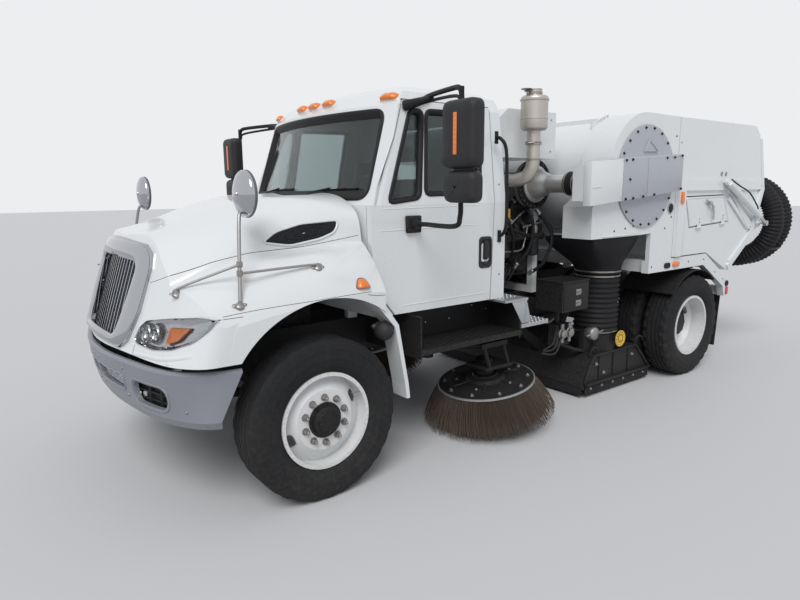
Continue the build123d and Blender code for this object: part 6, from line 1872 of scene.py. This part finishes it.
def makeHopperParts():
    look = hopperLook
    body = surfaceOf("hopper_body")
    sill = surfaceOf("hopper_subframe")
    for side, sign in sides:
        out = (sign, 0, 0)
        makeHatchParts(side, sign)
        bolts = newShape()
        for place in look["collars"]:
            addLathe(bolts, sidePoint(body, sign, *place), out, look["collar"], 20)
        makePiece(f"hopperBolts_{side}", addStuds(bolts, body, sign, look["bolts"]), "boltSteel", "hopper")
        rails = newShape()
        for ends, half in look["rails"]:
            addBar(rails, *upright(sign * 1.188, ends), -half, (sign * look["railDepth"], 0, 0), 0.005)
        makePiece(f"hopperRails_{side}", rails, "whitePaint", "hopper")
        hit = sidePoint(body, sign, *look["marker"])
        corners = [hit + vec(0, dd, dz) for dd, dz in rectangle(-0.024, -0.055, 0.024, 0.055)]
        marker = addSlab(newShape(), corners, (sign * 0.016, 0, 0), 0.006)
        makePiece(f"hopperMarker_{side}", marker, "amberLens", "hopper")
        onSill = lambda p: sidePoint(sill, sign, p.x, p.y)
        lens, socket = (
            addBlister(newShape(), onSill, roundLoop(*look[name], 6), out, look[levels])
            for name, levels in (("sillLamp", "sillLens"), ("sillSocket", "sillCup"))
        )
        makePiece(f"sillLamp_{side}", lens, "amberLens", smooth=50)
        addLathe(socket, spot(sign * 1.19, 4.935, 0.875), out, look["plug"], 24)
        makePiece(f"sillSocket_{side}", socket, "sealRubber", smooth=50)
        reflector = addPlate(newShape(), sign, 1.19, rectangle(*look["reflector"]), 0.01, 0.004)
        makePiece(f"sideReflector_{side}", reflector, "redLens")
        hits = [sidePoint(sill, sign, *place) for place in look["sillBolts"]]
        outer = [hit for hit in hits if hit and abs(hit.x) > 1.18]
        makePiece(f"sillBolts_{side}", addDomes(newShape(), outer, out, 0.008, 0.005), "blackPaint")
        hose = addTube(newShape(), mirrored(sign, look["hose"]), 0.0075, 8, 8)
        makePiece(f"cylinderHose_{side}", hose, "hoseRubber", "door_barrels", 50)
    handles = newShape()
    for x, d in look["handles"]:
        addHandle(handles, body, x, d, 0.2, 0.055, 9)
    makePiece("hopperHandles", handles, "whitePaint", "hopper", 50)


makeHopperParts()
print("hopper dressed")

# Suction hose coiled at the back: a ribbed hose in two rounds, straps, and the saddle on its peg
coilLook = {
    "centre": (0.79, 1.495),
    "rounds": (5.876, 6.086),
    "ringRadius": 0.438,
    "hoseRadius": 0.098,
    "ribHeight": 0.011,
    "ribs": 72,
    "around": 22,
    "straps": (90, 215, 325),
    "strapRadius": 0.107,
    "pegHeight": 1.757,
    "saddle": [math.radians(62 + 3.5 * step) for step in range(17)],
}


def makeHoseCoil():
    look = coilLook
    x, z = look["centre"]
    first, last = look["rounds"]
    ringRadius, hoseRadius, rise = look["ringRadius"], look["hoseRadius"], look["ribHeight"]
    hose = newShape()
    for d in look["rounds"]:
        rings = []
        for step, (dx, dz) in enumerate(circle(look["ribs"] * 6, 1)):
            out = vec(dx, 0, dz)
            middle = spot(x, d, z) + out * ringRadius
            wide = hoseRadius + rise * (0.5 + 0.5 * math.cos(math.pi * step / 3))
            rings.append([middle + out * c + vec(0, s, 0) for c, s in circle(look["around"], wide)])
        addBand(hose, rings, closed=True)
    makePiece("hoseCoil", hose, "hoseRubber", "rear_door", 60, ["hand_hose"])
    straps = newShape()
    half, wide = (last - first) / 2, look["strapRadius"]
    for turn in look["straps"]:
        out = vec(math.cos(math.radians(turn)), 0, math.sin(math.radians(turn)))
        middle = spot(x, first + half, z) + out * ringRadius
        flats = [(c, s * wide + math.copysign(half, s) * min(1, abs(s) * 6)) for c, s in circle(40, 1)]
        loop = [middle + out * c * wide + vec(0, dy, 0) for c, dy in flats]
        aside = out.cross(vec(0, 1, 0)) * 0.018
        levels = ((-1, 0), (-0.9, 0.003), (0.9, 0.003), (1, 0))
        rings = [[p + aside * way + (p - middle).normalized() * lift for p in loop] for way, lift in levels]
        addBand(straps, rings)
    makePiece("hoseStraps", straps, "blackPaint", "rear_door", 60)
    saddle = newShape()
    low = look["pegHeight"] - z
    top = ringRadius - hoseRadius - rise + 0.002
    arc, under = (
        [(math.cos(turn) * reach, math.sin(turn) * reach) for turn in look["saddle"]]
        for reach in (top, top - 0.006)
    )
    for d in look["rounds"]:
        web = [spot(x + dx, d - 0.006, z + dz) for dx, dz in arc + [(-0.055, low), (0.03, low)]]
        addSlab(saddle, web, (0, -0.012, 0), 0.002)
    loop = arc + under[::-1]
    addBand(saddle, [[spot(x + dx, d, z + dz) for dx, dz in loop] for d in (first - 0.09, last + 0.09)])
    makePiece("hoseSaddle", saddle, "blackPaint", "rear_door", 40)


makeHoseCoil()
print("hose coil made")

# Right side: radiator screen, straps and cap of the fuel tank, then lid and bolts of the water tank
rightLook = {
    "screenX": -0.74,
    "screen": (1.975, 1.15, 2.405, 1.945),
    "bars": 3,
    "fins": 46,
    "straps": (2.35, 2.61),
    "strap": pairs(-600, 617, -1063, 617, -1063, 1113, -600, 1113),
    "capPlace": (-0.83, 2.48),
    "tankTop": 1.11,
    "cap": pairs(0, 52, 18, 52, 20, 62, 40, 62, 46, 54, 48, 10),
    "lid": pairs(0, 200, 14, 200, 20, 190, 26, 90, 40, 80, 44, 20),
    "lidHandle": triples(-610, 2200, 2556, -600, 2200, 2581, -500, 2200, 2581, -490, 2200, 2556),
    "bolts": pairs(1860, 2200, 1860, 2460, 2490, 2200, 2490, 2460),
}


def makeRightSide():
    look = rightLook
    x = look["screenX"]
    front, low, back, high = look["screen"]
    bars = newShape()
    corners = upright(x, rectangle(*look["screen"]))
    for start, end in zip(corners, corners[1:] + corners[:1]):
        longer = (end - start).normalized() * 0.016
        addBar(bars, start - longer, end + longer, 0.016, (-0.022, 0, 0), 0.003)
    for step in range(look["bars"]):
        z = low + (high - low) * (step + 1) / (look["bars"] + 1)
        addSlab(bars, upright(x, rectangle(front, z - 0.009, back, z + 0.009)), (-0.014, 0, 0), 0.002)
    makePiece("screenFrame", bars, "blackPaint")
    fins = newShape()
    for step in range(look["fins"]):
        z = low + (high - low) * (step + 0.5) / look["fins"]
        inner = spot(x - 0.001, front, z - 0.005), spot(x - 0.001, back, z - 0.005)
        outer = spot(x - 0.011, back, z + 0.004), spot(x - 0.011, front, z + 0.004)
        addSlab(fins, inner + outer, (0, 0, 0.0015), 0)
    makePiece("screenFins", fins, "darkMesh")
    straps = newShape()
    half = vec(0, 0.022, 0)
    for d in look["straps"]:
        loop = crossways(d, look["strap"])
        for one, two in zip(loop, loop[1:]):
            outward = vec(0, 1, 0).cross((two - one).normalized())
            addSlab(straps, [one - half, two - half, two + half, one + half], outward * 0.004, 0.001)
    makePiece("tankStraps", straps, "boltSteel")
    top = spot(*look["capPlace"], look["tankTop"])
    cap = addLathe(newShape(), top, (0, 0, 1), look["cap"], 32)
    for dx, dy in circle(10, 0.061):
        addDomes(cap, [top + vec(dx, dy, 0.03)], (dx, dy, 0), 0.007, 0.004, 8)
    makePiece("tankCap", cap, "blackPaint", smooth=40)
    lid = addLathe(newShape(), spot(-0.55, 2.2, 2.518), (0, 0, 1), look["lid"], 40)
    addTube(lid, mirrored(1, look["lidHandle"]), 0.007, 8, 5)
    makePiece("waterLid", lid, "whitePaint", smooth=40)
    bolts = newShape()
    tank = surfaceOf("water_tank")
    for sign in (-1, 1):
        addStuds(bolts, tank, sign, look["bolts"])
    makePiece("tankBolts", bolts, "boltSteel")


makeRightSide()
print("right side dressed")

# Back: ribs of the rear door, and round lamps on the frame below it
backLook = {
    "ribs": (-0.8, -0.27),
    "ribHeights": [1.5 + 0.1 * step for step in range(9)],
    "rib": pairs(-30, -2, -22, 18, 22, 18, 30, -2),
    "lamps": (0.66, 0.8, 0.94),
    "lampHeight": 0.79,
    "base": pairs(0, 50, 14, 50, 18, 46),
    "lens": pairs(12, 46, 22, 44, 30, 34, 33, 12),
}


def makeBack():
    look = backLook
    door = surfaceOf("rear_door")
    cross = surfaceOf("hopper_subframe", "frame_rails", "cross_members")
    ribs = newShape()
    for x in look["ribs"]:
        hits = [door(spot(x, 8.0, z), (0, -1, 0)) for z in look["ribHeights"]]
        path = [hit + vec(0, 0.002, 0) for hit in hits if hit]
        addGrid(ribs, [[point + vec(dx, dy, 0) for dx, dy in look["rib"]] for point in path])
    makePiece("rearDoorRibs", ribs, "whitePaint", "rear_door", 60)
    lamps = newShape()
    bases = newShape()
    for x in (sign * place for sign in (1, -1) for place in look["lamps"]):
        hit = cross(spot(x, 8.0, look["lampHeight"]), (0, -1, 0))
        if hit:
            addLathe(bases, hit, (0, 1, 0), look["base"], 32)
            addLathe(lamps, hit, (0, 1, 0), look["lens"], 32)
    makePiece("rearLamps", lamps, "redLens", smooth=50)
    makePiece("rearLampBases", bases, "sealRubber", smooth=50)


makeBack()
print("back dressed")
